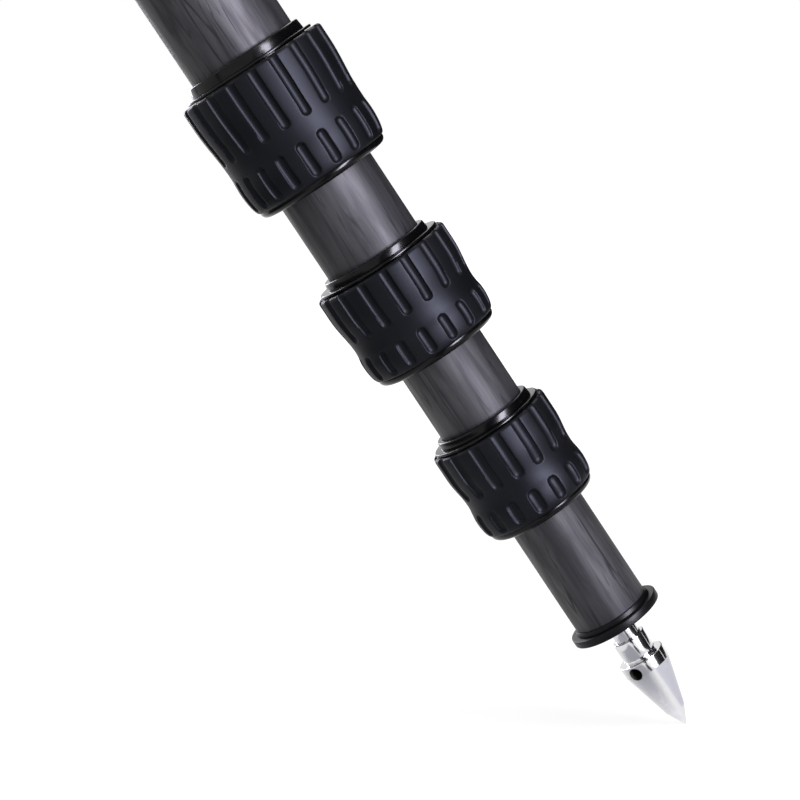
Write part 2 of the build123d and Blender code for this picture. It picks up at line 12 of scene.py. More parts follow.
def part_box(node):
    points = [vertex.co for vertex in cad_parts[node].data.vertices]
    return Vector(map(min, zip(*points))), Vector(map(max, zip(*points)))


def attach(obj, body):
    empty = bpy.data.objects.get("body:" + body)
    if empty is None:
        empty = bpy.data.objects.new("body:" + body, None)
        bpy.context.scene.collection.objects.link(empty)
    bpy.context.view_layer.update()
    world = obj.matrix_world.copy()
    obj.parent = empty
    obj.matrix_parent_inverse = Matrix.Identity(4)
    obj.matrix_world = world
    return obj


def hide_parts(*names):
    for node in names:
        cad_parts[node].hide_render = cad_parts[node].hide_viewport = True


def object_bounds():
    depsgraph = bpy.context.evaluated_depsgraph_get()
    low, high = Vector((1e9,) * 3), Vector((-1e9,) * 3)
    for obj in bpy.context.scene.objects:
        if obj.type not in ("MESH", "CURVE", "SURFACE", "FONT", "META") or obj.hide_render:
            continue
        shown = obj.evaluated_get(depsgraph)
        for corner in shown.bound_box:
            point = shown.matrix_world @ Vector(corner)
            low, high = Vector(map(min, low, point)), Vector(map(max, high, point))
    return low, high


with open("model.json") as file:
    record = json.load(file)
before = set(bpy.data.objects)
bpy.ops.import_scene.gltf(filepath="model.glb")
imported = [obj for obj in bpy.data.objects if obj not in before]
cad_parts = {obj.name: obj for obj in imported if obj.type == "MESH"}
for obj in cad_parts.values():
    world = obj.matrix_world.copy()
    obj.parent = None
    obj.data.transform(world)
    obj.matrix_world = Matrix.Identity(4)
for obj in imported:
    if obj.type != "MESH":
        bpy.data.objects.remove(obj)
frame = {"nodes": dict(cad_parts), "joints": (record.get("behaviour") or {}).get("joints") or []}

# A camera tripod with three carbon legs. Metres, +Z up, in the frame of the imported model.
# A leg is modelled upright in millimetres with its spike's tip at height 0, then placed three times.
MM = 0.001
CAD_BOX = [list(corner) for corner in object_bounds()]
LEG_LETTERS = ("a", "b", "c")
LOG = logging.getLogger("tripod")

Point = tuple[float, float]
Triple = tuple[float, float, float]
Colour = tuple[float, float, float, float]
Test = Callable[[Vector], bool]


# Shader maths


class Wire:
    """A value inside a shader graph that sums, products and comparisons can be written with."""

    def __init__(self, graph: "Graph", socket: bpy.types.NodeSocket | None) -> None:
        """Holds the graph and the output socket that carries the value, if the node has one."""
        self.graph = graph
        self.socket = socket

    def __add__(self, other: "Wire | float") -> "Wire":
        """The sum."""
        return self.graph.maths("ADD", self, other)

    def __radd__(self, other: float) -> "Wire":
        """The sum, from the right."""
        return self.graph.maths("ADD", other, self)

    def __sub__(self, other: "Wire | float") -> "Wire":
        """The difference."""
        return self.graph.maths("SUBTRACT", self, other)

    def __rsub__(self, other: float) -> "Wire":
        """The difference, from the right."""
        return self.graph.maths("SUBTRACT", other, self)

    def __mul__(self, other: "Wire | float") -> "Wire":
        """The product."""
        return self.graph.maths("MULTIPLY", self, other)

    def __rmul__(self, other: float) -> "Wire":
        """The product, from the right."""
        return self.graph.maths("MULTIPLY", other, self)

    def __abs__(self) -> "Wire":
        """The size without its sign."""
        return self.graph.maths("ABSOLUTE", self)

    def between(self, low: float, high: float) -> "Wire":
        """How far the value is from low to high, from 0 to 1 with soft ends.

        Args:
            low: Where the result is 0.
            high: Where the result is 1.

        Returns:
            The share.
        """
        sockets = {"Value": self, "From Min": low, "From Max": high}
        return self.graph.add("ShaderNodeMapRange", {"interpolation_type": "SMOOTHSTEP"}, sockets)


class Graph:
    """A node tree that is filled by one method."""

    def __init__(self, tree: bpy.types.NodeTree) -> None:
        """Empties the tree.

        Args:
            tree: The node tree of a material or of the world.
        """
        self.tree = tree
        self.tree.nodes.clear()

    def add(
        self,
        kind: str,
        settings: dict[str, object] | None = None,
        sockets: dict[str | int, object] | None = None,
        output: str | int = 0,
    ) -> Wire:
        """Adds a node of any type.

        Args:
            kind: The node's type.
            settings: Its own settings, set first. The stops of a ramp are (place, colour) pairs.
            sockets: Values or wires for its inputs.
            output: The output that the wire starts from.

        Returns:
            A wire from that output.
        """
        node = self.tree.nodes.new(kind)
        for name, value in (settings or {}).items():
            if name == "stops":
                elements = node.color_ramp.elements
                while len(elements) < len(value):
                    elements.new(1.0)
                for element, (place, colour) in zip(elements, value):
                    element.position = place
                    element.color = colour
            else:
                setattr(node, name, value)
        for name, value in (sockets or {}).items():
            if isinstance(value, Wire):
                self.tree.links.new(value.socket, node.inputs[name])
            else:
                node.inputs[name].default_value = value
        return Wire(self, node.outputs[output] if len(node.outputs) else None)

    def maths(self, operation: str, *values: Wire | float) -> Wire:
        """Adds one Math node.

        Args:
            operation: The node's operation.
            values: What its sockets hold, in order.

        Returns:
            The node's result.
        """
        return self.add("ShaderNodeMath", {"operation": operation}, dict(enumerate(values)))

    def vector_maths(self, operation: str, *values: object, output: str | int = 0) -> Wire:
        """Adds one Vector Math node.

        Args:
            operation: The node's operation.
            values: What its sockets hold, in order.
            output: The output that the wire starts from.

        Returns:
            The node's result.
        """
        settings = {"operation": operation}
        return self.add("ShaderNodeVectorMath", settings, dict(enumerate(values)), output)

    def length(self, vector: Wire) -> Wire:
        """How long a vector is."""
        return self.vector_maths("LENGTH", vector, output="Value")

    def seen(self, *rays: str) -> Wire:
        """Whether the surface is seen by one of some kinds of rays.

        Args:
            rays: Names of the Light Path node's outputs.

        Returns:
            1 if it is and 0 if not.
        """
        total = self.add("ShaderNodeLightPath", output=rays[0])
        for ray in rays[1:]:
            total = total + self.add("ShaderNodeLightPath", output=ray)
        return self.maths("MINIMUM", total, 1.0)

    def noise(self, vector: Wire, scale: float, detail: float = 2.0, distortion: float = 0.0) -> Wire:
        """Soft random values.

        Args:
            vector: Where the pattern is read.
            scale: Its repeats for each unit.
            detail: Its finer layers.
            distortion: How far it is bent.

        Returns:
            Values around one half.
        """
        sockets = {"Vector": vector, "Scale": scale, "Detail": detail, "Distortion": distortion}
        return self.add("ShaderNodeTexNoise", {"noise_dimensions": "3D"}, sockets)

    def stretched(self, vector: Wire, shares: Triple, offset: float = 0.0) -> Wire:
        """The place multiplied along each axis, for a pattern that is longer one way.

        Args:
            vector: The place.
            shares: One factor for each axis.
            offset: A shift that gives another part of the pattern.

        Returns:
            The changed place.
        """
        return self.vector_maths("MULTIPLY_ADD", vector, shares, (offset, offset, offset))

    def mixed(self, share: Wire, first: Wire | Colour, second: Wire | Colour) -> Wire:
        """A colour between two.

        Args:
            share: 0 for the first, 1 for the second.
            first: A colour.
            second: A colour.

        Returns:
            The colour between them.
        """
        sockets = {0: share, 6: first, 7: second}
        return self.add("ShaderNodeMix", {"data_type": "RGBA"}, sockets, output=2)


@dataclass(frozen=True)
class Place:
    """Where a piece that was modelled in millimetres stands in the frame."""

    name: str
    location: Vector
    rotation: Quaternion

    def matrix(self) -> Matrix:
        """From the piece's own millimetres to the frame's metres."""
        return Matrix.LocRotScale(self.location, self.rotation, Vector((MM, MM, MM)))

    def coordinates(self, graph: Graph) -> Wire:
        """The shaded point in the piece's own millimetres.

        Args:
            graph: The material's graph.

        Returns:
            The point.
        """
        point = graph.add("ShaderNodeTexCoord", output="Object")
        sockets = {
            "Vector": point,
            "Location": self.location,
            "Rotation": self.rotation.to_euler(),
            "Scale": (MM, MM, MM),
        }
        return graph.add("ShaderNodeMapping", {"vector_type": "TEXTURE"}, sockets)


# Finishes


@dataclass(frozen=True)
class Finish:
    """A surface finish. Its kinds fill in the graph, and every piece gets its own place's copy."""

    name: str

    def paint(self, graph: Graph, point: Wire) -> dict[str, object]:
        """The sockets of the surface shader.

        Args:
            graph: The material's graph.
            point: The shaded point in millimetres.

        Returns:
            Socket names and their values or wires.
        """
        raise NotImplementedError

    def material(self, place: Place) -> bpy.types.Material:
        """The material of this finish for pieces at one place.

        Args:
            place: Where the pieces stand.

        Returns:
            The material, made once.
        """
        name = f"{self.name}_{place.name}"
        found = bpy.data.materials.get(name)
        if found:
            return found
        made = bpy.data.materials.new(name)
        made.use_nodes = True
        graph = Graph(made.node_tree)
        sockets = self.paint(graph, place.coordinates(graph))
        shader = graph.add("ShaderNodeBsdfPrincipled", None, sockets)
        graph.add("ShaderNodeOutputMaterial", None, {"Surface": shader})
        return made


def bump(graph: Graph, height: Wire, depth: float) -> Wire:
    """Small relief that the light catches.

    Args:
        graph: The material's graph.
        height: The relief, from 0 to 1.
        depth: Its real depth in millimetres.

    Returns:
        The bent normal.
    """
    sockets = {"Height": height, "Distance": depth * MM, "Strength": 1.0}
    return graph.add("ShaderNodeBump", None, sockets)


@dataclass(frozen=True)
class Carbon(Finish):
    """Satin carbon tube: long flames of tone, fine fibres and thin dark veins along it."""

    dark: Colour = (0.0085, 0.008, 0.0096, 1)
    light: Colour = (0.0195, 0.0182, 0.0222, 1)
    vein: Colour = (0.002, 0.002, 0.0024, 1)
    tint: Colour = (0.93, 0.87, 1.0, 1)
    roughness: float = 0.56
    coat_roughness: float = 0.52
    flame_shares: Triple = (0.2, 0.2, 0.028)
    fibre_shares: Triple = (2.6, 2.6, 0.05)
    long_shares: Triple = (0.22, 0.22, 0.014)
    short_shares: Triple = (0.4, 0.4, 0.03)
    gap_shares: Triple = (0.12, 0.12, 0.03)
    vein_width: float = 0.028

    def veins(self, graph: Graph, point: Wire, shares: Triple, offset: float) -> Wire:
        """Thin dark lines along the tube that part, meet, come and go.

        Args:
            graph: The material's graph.
            point: The shaded point in millimetres.
            shares: How the pattern is stretched along each axis.
            offset: A shift that gives another part of the pattern.

        Returns:
            1 on a line and 0 beside it.
        """
        contour = graph.noise(graph.stretched(point, shares, offset), 1.0, 1.5, 0.4)
        line = 1 - abs(contour - 0.5).between(0.0, self.vein_width)
        where = graph.noise(graph.stretched(point, self.gap_shares, offset + 83.0), 1.0, 2.0)
        return line * where.between(0.47, 0.62)

    def paint(self, graph: Graph, point: Wire) -> dict[str, object]:
        """Flames, fibres and veins, all stretched along the tube.

        Args:
            graph: The material's graph.
            point: The shaded point in millimetres.

        Returns:
            Socket names and their values or wires.
        """
        flames = graph.noise(graph.stretched(point, self.flame_shares), 1.0, 4.0, 0.5)
        fibres = graph.noise(graph.stretched(point, self.fibre_shares, 40.0), 1.0, 3.0)
        long_veins = self.veins(graph, point, self.long_shares, 7.0)
        short_veins = self.veins(graph, point, self.short_shares, 31.0)
        veins = graph.maths("MAXIMUM", long_veins * 0.85, short_veins * 0.6)
        tone = flames.between(0.32, 0.68) * 0.75 + fibres.between(0.25, 0.75) * 0.25
        body = graph.mixed(tone, self.dark, self.light)
        return {
            "Base Color": graph.mixed(veins, body, self.vein),
            "Roughness": self.roughness + fibres * 0.1,
            "Specular IOR Level": 0.2,
            "Specular Tint": self.tint,
            "Coat Weight": (0.25 + tone * 0.75) * (1 - veins),
            "Coat Roughness": self.coat_roughness,
            "Normal": bump(graph, fibres * 0.6 - veins * 0.8, 0.03),
        }


@dataclass(frozen=True)
class Rubber(Finish):
    """Dark moulded rubber, smooth and matt, with a very fine skin and rubbed patches."""

    base: Colour = (0.0042, 0.0046, 0.006, 1)
    rubbed: Colour = (0.0064, 0.0068, 0.0085, 1)
    sheen: Colour = (0.8, 0.84, 1.0, 1)
    roughness: float = 0.4

    def paint(self, graph: Graph, point: Wire) -> dict[str, object]:
        """A fine skin over wide, faint patches.

        Args:
            graph: The material's graph.
            point: The shaded point in millimetres.

        Returns:
            Socket names and their values or wires.
        """
        patches = graph.noise(point, 0.06, 3.0)
        skin = graph.noise(point, 2.2, 3.0)
        return {
            "Base Color": graph.mixed(patches.between(0.35, 0.65), self.base, self.rubbed),
            "Roughness": self.roughness + patches * 0.08 + skin * 0.04,
            "Specular IOR Level": 0.12,
            "Specular Tint": self.sheen,
            "Normal": bump(graph, skin, 0.015),
        }


@dataclass(frozen=True)
class Metal(Finish):
    """Metal with turning marks around the piece's own axis."""

    base: Colour
    roughness: float
    metallic: float = 1.0
    specular: float = 0.5
    turning: float = 0.0
    specks: float = 0.0
    clouding: float = 0.2

    def paint(self, graph: Graph, point: Wire) -> dict[str, object]:
        """Faint clouds, turning marks and specks of a painted skin.

        Args:
            graph: The material's graph.
            point: The shaded point in millimetres.

        Returns:
            Socket names and their values or wires.
        """
        clouds = graph.noise(point, 0.12, 3.0)
        rings = graph.noise(graph.stretched(point, (0.02, 0.02, 9.0)), 1.0, 2.0)
        grain = graph.noise(point, 3.2, 2.0)
        darker = tuple((1 - self.clouding) * share for share in self.base[:3]) + (1.0,)
        relief = rings * self.turning + grain * self.specks
        return {
            "Base Color": graph.mixed(clouds.between(0.35, 0.65), self.base, darker),
            "Metallic": self.metallic,
            "Roughness": self.roughness + clouds * 0.04 + rings * 0.04,
            "Specular IOR Level": self.specular,
            "Normal": bump(graph, relief, 0.02),
        }


@dataclass(frozen=True)
class CrossHole:
    """The hole across the spike's band, in the leg's millimetres."""

    radius: float = 2.4
    height: float = 27.1
    angle: float = -37.0

    def turn(self) -> float:
        """The direction of the hole's axis around the leg, in radians."""
        return math.radians(self.angle - 90)


@dataclass(frozen=True)
class Drilled(Metal):
    """Polished metal with a cross hole whose wall has painted shade in its colour and a rougher
    finish.
    """

    hole: CrossHole = CrossHole()
    # The wall colour is painted shade, standing in for the shade inside the hole.
    wall: Colour = (0.1, 0.088, 0.072, 1)
    wall_roughness: float = 0.4
    fade: Point = (0.02, 0.08)

    def paint(self, graph: Graph, point: Wire) -> dict[str, object]:
        """The metal's own sockets, with painted shade darkening the hole's wall by its distance from
        the hole's axis.

        Args:
            graph: The material's graph.
            point: The shaded point in millimetres.

        Returns:
            Socket names and their values or wires.
        """
        sockets = super().paint(graph, point)
        turn = self.hole.turn()
        along = (math.cos(turn), math.sin(turn), 0)
        from_middle = graph.vector_maths("SUBTRACT", point, (0, 0, self.hole.height))
        away = graph.length(graph.vector_maths("CROSS_PRODUCT", from_middle, along))
        painted_shade_end, metal_start = self.fade
        outside = away.between(self.hole.radius + painted_shade_end, self.hole.radius + metal_start)
        # Painted shade: the hole's wall gets the dark wall colour in place of the steel's.
        sockets["Base Color"] = graph.mixed(outside, self.wall, sockets["Base Color"])
        sockets["Roughness"] = sockets["Roughness"] + (1 - outside) * self.wall_roughness
        return sockets


@dataclass(frozen=True)
class Plastic(Finish):
    """Plain moulded or turned plastic with a faint mottle."""

    base: Colour
    roughness: float = 0.45

    def paint(self, graph: Graph, point: Wire) -> dict[str, object]:
        """A faint mottle in colour and gloss.

        Args:
            graph: The material's graph.
            point: The shaded point in millimetres.

        Returns:
            Socket names and their values or wires.
        """
        mottle = graph.noise(point, 0.4, 3.0)
        darker = tuple(0.85 * share for share in self.base[:3]) + (1.0,)
        return {
            "Base Color": graph.mixed(mottle, self.base, darker),
            "Roughness": self.roughness + mottle * 0.06,
            "Normal": bump(graph, mottle, 0.01),
        }


STEEL: Colour = (0.72, 0.72, 0.735, 1)
CARBON = Carbon("carbon")
RUBBER = Rubber("rubber")
GLOSS_BLACK = Metal(
    "gloss_black", (0.004, 0.0038, 0.005, 1), 0.15, metallic=0.0, specular=0.15, turning=0.02
)
SATIN_BLACK = Metal(
    "satin_black", (0.0042, 0.0042, 0.0054, 1), 0.32, metallic=0.0, specular=0.12, turning=0.1
)
POLISHED = Metal("polished_steel", STEEL, 0.06, turning=0.03, clouding=0.05)
DRILLED = Drilled("drilled_steel", STEEL, 0.06, turning=0.03, clouding=0.05)
BOLT_STEEL = Metal("bolt_steel", (0.3, 0.3, 0.31, 1), 0.32, turning=0.2)
CAST_BLACK = Metal(
    "cast_black", (0.011, 0.011, 0.0125, 1), 0.48, metallic=0.0, specular=0.25, specks=0.8
)
TAB_GREY = Metal("tab_grey", (0.17, 0.17, 0.18, 1), 0.4, metallic=0.9, specks=0.5)
NYLON = Plastic("nylon", (0.62, 0.61, 0.57, 1))
VIAL_GREEN = Plastic("vial_green", (0.35, 0.62, 0.06, 1), 0.12)
BUBBLE = Plastic("bubble", (0.62, 0.8, 0.3, 1), 0.05)


class Slot(Enum):
    """The record's material slots."""

    CARBON = "carbon"
    ANODISED = "anodised_black"
    RUBBER = "rubber"
    STEEL = "polished_steel"
    BOLT = "bolt_steel"
    CAST = "cast_black"
    GREY = "tab_grey"
    NYLON = "nylon"
    VIAL = "vial"


# Outlines and modelling by hand


@dataclass(frozen=True)
class Corner:
    """A corner of an outline: radius from the axis, height along it, and how far it is rounded."""

    radius: float
    height: float
    round: float = 0.0


def rounded(corners: Sequence[Corner], steps: int = 4, closed: bool = True) -> list[Point]:
    """The outline's points, with each rounded corner as a short arc.

    Args:
        corners: The outline's corners in order.
        steps: Pieces of each arc.
        closed: Whether the last corner joins the first.

    Returns:
        (radius, height) points.
    """
    points: list[Point] = []
    for index, corner in enumerate(corners):
        at = Vector((corner.radius, corner.height))
        if corner.round == 0 or (not closed and index in (0, len(corners) - 1)):
            points.append((at.x, at.y))
            continue
        before, after = corners[index - 1], corners[(index + 1) % len(corners)]
        come = (Vector((before.radius, before.height)) - at).normalized()
        leave = (Vector((after.radius, after.height)) - at).normalized()
        half = come.angle(leave) / 2
        tangent = corner.round / math.tan(half)
        middle = at + (come + leave).normalized() * (corner.round / math.sin(half))
        first = at + come * tangent - middle
        turn = math.pi - 2 * half
        if first.x * leave.y - first.y * leave.x < 0:
            turn = -turn
        for step in range(steps + 1):
            spot = middle + Matrix.Rotation(turn * step / steps, 2) @ first
            points.append((spot.x, spot.y))
    return points


class Bench:
    """One mesh on the bench, in millimetres, shaped with the same tools as by hand."""

    merge_distance = 0.004

    def __init__(self, name: str) -> None:
        """Puts a small plane on the bench and opens it for shaping.

        Args:
            name: The piece's name.
        """
        bpy.ops.object.select_all(action="DESELECT")
        bpy.ops.mesh.primitive_plane_add(size=1)
        self.object = bpy.context.object
        self.object.name = name
        bpy.ops.object.mode_set(mode="EDIT")

    def outline(self, points: Sequence[Point], closed: bool) -> None:
        """Draws a wire in the XZ plane from the collapsed plane.

        Args:
            points: (radius, height) points.
            closed: Whether the wire comes back to its start.
        """
        bpy.ops.mesh.select_all(action="SELECT")
        bpy.ops.mesh.merge(type="CENTER")
        start_radius, start_height = points[0]
        bpy.ops.transform.translate(value=(start_radius, 0, start_height))
        route = [*points[1:], points[0]] if closed else list(points[1:])
        for (radius, height), (last_radius, last_height) in zip(route, points):
            step = (radius - last_radius, 0, height - last_height)
            bpy.ops.mesh.extrude_region_move(TRANSFORM_OT_translate={"value": step})

    def spin(self, angle: float, steps: int = 1, copies: bool = False) -> None:
        """Turns what is selected about the upright axis, rightward positive.

        Args:
            angle: How far, in degrees.
            steps: Rows of faces, or copies.
            copies: Whether to repeat the shape and not stretch it.
        """
        turn = -math.radians(angle)
        bpy.ops.mesh.spin(
            steps=steps,
            angle=turn,
            dupli=copies,
            center=(0, 0, 0),
            axis=(0, 0, 1),
            use_auto_merge=False,
        )

    def close(self) -> None:
        """Merges doubled points, drops loose edges and turns every face outwards."""
        bpy.ops.mesh.select_all(action="SELECT")
        bpy.ops.mesh.remove_doubles(threshold=self.merge_distance)
        bpy.ops.mesh.delete_loose(use_verts=True, use_edges=True, use_faces=False)
        bpy.ops.mesh.select_all(action="SELECT")
        bpy.ops.mesh.normals_make_consistent(inside=False)

    def pick(self, test: Test) -> int:
        """Selects the points that pass a test.

        Args:
            test: Says whether a point is wanted.

        Returns:
            How many there are.
        """
        bpy.ops.object.mode_set(mode="OBJECT")
        mesh = self.object.data
        for item in (*mesh.vertices, *mesh.edges, *mesh.polygons):
            item.select = False
        count = 0
        for vertex in mesh.vertices:
            vertex.select = test(vertex.co)
            count += vertex.select
        bpy.ops.object.mode_set(mode="EDIT")
        bpy.ops.mesh.select_mode(type="VERT")
        return count

    def press(self, move: Vector, reach: float, shape: str) -> None:
        """Pushes the selected points, with what is near them following.

        Args:
            move: How far the selected points go.
            reach: How far around them the surface follows.
            shape: The falloff's name.
        """
        bpy.ops.transform.translate(
            value=move,
            use_proportional_edit=True,
            proportional_edit_falloff=shape,
            proportional_size=reach,
        )

    def turn(self, angle: float) -> None:
        """Turns everything about the upright axis, rightward positive.

        Args:
            angle: How far, in degrees.
        """
        bpy.ops.mesh.select_all(action="SELECT")
        turn = -math.radians(angle)
        bpy.ops.transform.rotate(value=turn, orient_axis="Z", center_override=(0, 0, 0))

    def apply(self, kind: str, **settings: object) -> None:
        """Adds a modifier and applies it.

        Args:
            kind: The modifier's type.
            settings: Its settings.
        """
        bpy.ops.object.mode_set(mode="OBJECT")
        modifier = self.object.modifiers.new(kind.lower(), kind)
        for name, value in settings.items():
            setattr(modifier, name, value)
        bpy.ops.object.select_all(action="DESELECT")
        self.object.select_set(True)
        bpy.context.view_layer.objects.active = self.object
        bpy.ops.object.modifier_apply(modifier=modifier.name)
        bpy.ops.object.mode_set(mode="EDIT")

    def take(self, smooth_angle: float = 32.0) -> bpy.types.Mesh:
        """Takes the mesh off the bench.

        Args:
            smooth_angle: Edges flatter than this are shaded smooth, in degrees.

        Returns:
            The finished mesh, in millimetres.
        """
        bpy.ops.object.mode_set(mode="OBJECT")
        bpy.ops.object.select_all(action="DESELECT")
        self.object.select_set(True)
        bpy.context.view_layer.objects.active = self.object
        bpy.ops.object.shade_smooth_by_angle(angle=math.radians(smooth_angle))
        mesh = self.object.data
        mesh.name = self.object.name
        bpy.data.objects.remove(self.object)
        return mesh


def turned(name: str, corners: Sequence[Corner], sides: int = 96, steps: int = 4) -> bpy.types.Mesh:
    """A turned piece: its outline spun all round.

    Args:
        name: The piece's name.
        corners: Its closed outline.
        sides: Faces around it.
        steps: Pieces of each rounded corner.

    Returns:
        The mesh, in millimetres.
    """
    bench = Bench(name)
    bench.outline(rounded(corners, steps), closed=True)
    bpy.ops.mesh.select_all(action="SELECT")
    bench.spin(360, sides)
    bench.close()
    return bench.take()


def pipe(
    name: str, outer: float, inner: float, low: float, high: float, round: float
) -> bpy.types.Mesh:
    """A round tube with softened rims.

    Args:
        name: The piece's name.
        outer: Outer radius.
        inner: Inner radius.
        low: Lower end.
        high: Upper end.
        round: How far the rims are rounded.

    Returns:
        The mesh, in millimetres.
    """
    corners = [
        Corner(inner, low, round),
        Corner(outer, low, round),
        Corner(outer, high, round),
        Corner(inner, high, round),
    ]
    return turned(name, corners, steps=2)


@dataclass(frozen=True)
class Piece:
    """A finished mesh and what it is: its body, finish, slot and the node that it stands for."""

    name: str
    mesh: bpy.types.Mesh
    body: str
    finish: Finish
    slot: Slot
    stands_for: str = ""

    def put(self, place: Place) -> bpy.types.Object:
        """Puts a copy of the piece at its place.

        Args:
            place: Where it stands. Its name fills in for the leg's letter.

        Returns:
            The placed object.
        """
        name = self.name.format(leg=place.name)
        mesh = self.mesh.copy()
        mesh.name = name
        mesh.transform(place.matrix())
        mesh.materials.clear()
        mesh.materials.append(self.finish.material(place))
        placed = bpy.data.objects.new(name, mesh)
        bpy.context.scene.collection.objects.link(placed)
        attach(placed, self.body.format(leg=place.name))
        if self.stands_for:
            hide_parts(self.stands_for.format(leg=place.name))
        return placed


# Measuring the frame

# Measured radii and heights that are closer than this count as one. Millimetres.
NEAR = 0.1


@dataclass(frozen=True)
class LegPlace:
    """The line of one leg, read from its joints and its spike."""

    letter: str

    def joint(self, name: str) -> dict[str, object]:
        """One of the leg's joints, by the end of its name."""
        return next(joint for joint in frame["joints"] if joint["name"] == f"leg_{self.letter}_{name}")

    def up(self) -> Vector:
        """The direction from the spike's tip to the hinge."""
        return -Vector(self.joint("slide_2")["axis"]).normalized()

    def pivot(self) -> Vector:
        """The hinge's middle."""
        return Vector(self.joint("swing")["pos_m"])

    def place(self) -> Place:
        """Where an upright leg with its tip at height 0 goes.

        Returns:
            The leg's place.
        """
        up = self.up()
        node = frame["nodes"][f"leg_{self.letter}_spike"]
        reach = max((self.pivot() - vertex.co).dot(up) for vertex in node.data.vertices)
        azimuth = math.atan2(self.pivot().y, self.pivot().x)
        lean = math.atan2(-up.xy.dot(Vector((math.cos(azimuth), math.sin(azimuth)))), up.z)
        turn = Quaternion((0, 0, 1), azimuth) @ Quaternion((0, 1, 0), -lean)
        return Place(self.letter, self.pivot() - up * reach, turn)


class Measure:
    """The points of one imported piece, as heights and radii in the millimetres of its place."""

    def __init__(self, node: str, place: Place) -> None:
        """Reads a node.

        Args:
            node: The node's name.
            place: The place whose millimetres are used.
        """
        back = place.matrix().inverted()
        points = [back @ vertex.co for vertex in frame["nodes"][node].data.vertices]
        self.points = [(point.xy.length, point.z) for point in points]

    def low(self, beyond: float = 0.0) -> float:
        """The lowest height of the points outside a radius."""
        return min(height for radius, height in self.points if radius >= beyond)

    def high(self, beyond: float = 0.0) -> float:
        """The highest height of the points outside a radius."""
        return max(height for radius, height in self.points if radius >= beyond)

    def radius(self, low: float = -math.inf, high: float = math.inf) -> float:
        """The largest radius between two heights."""
        return max(radius for radius, height in self.points if low <= height <= high)

    def bore(self, low: float = -math.inf, high: float = math.inf) -> float:
        """The smallest radius between two heights."""
        return min(radius for radius, height in self.points if low <= height <= high)


# The leg


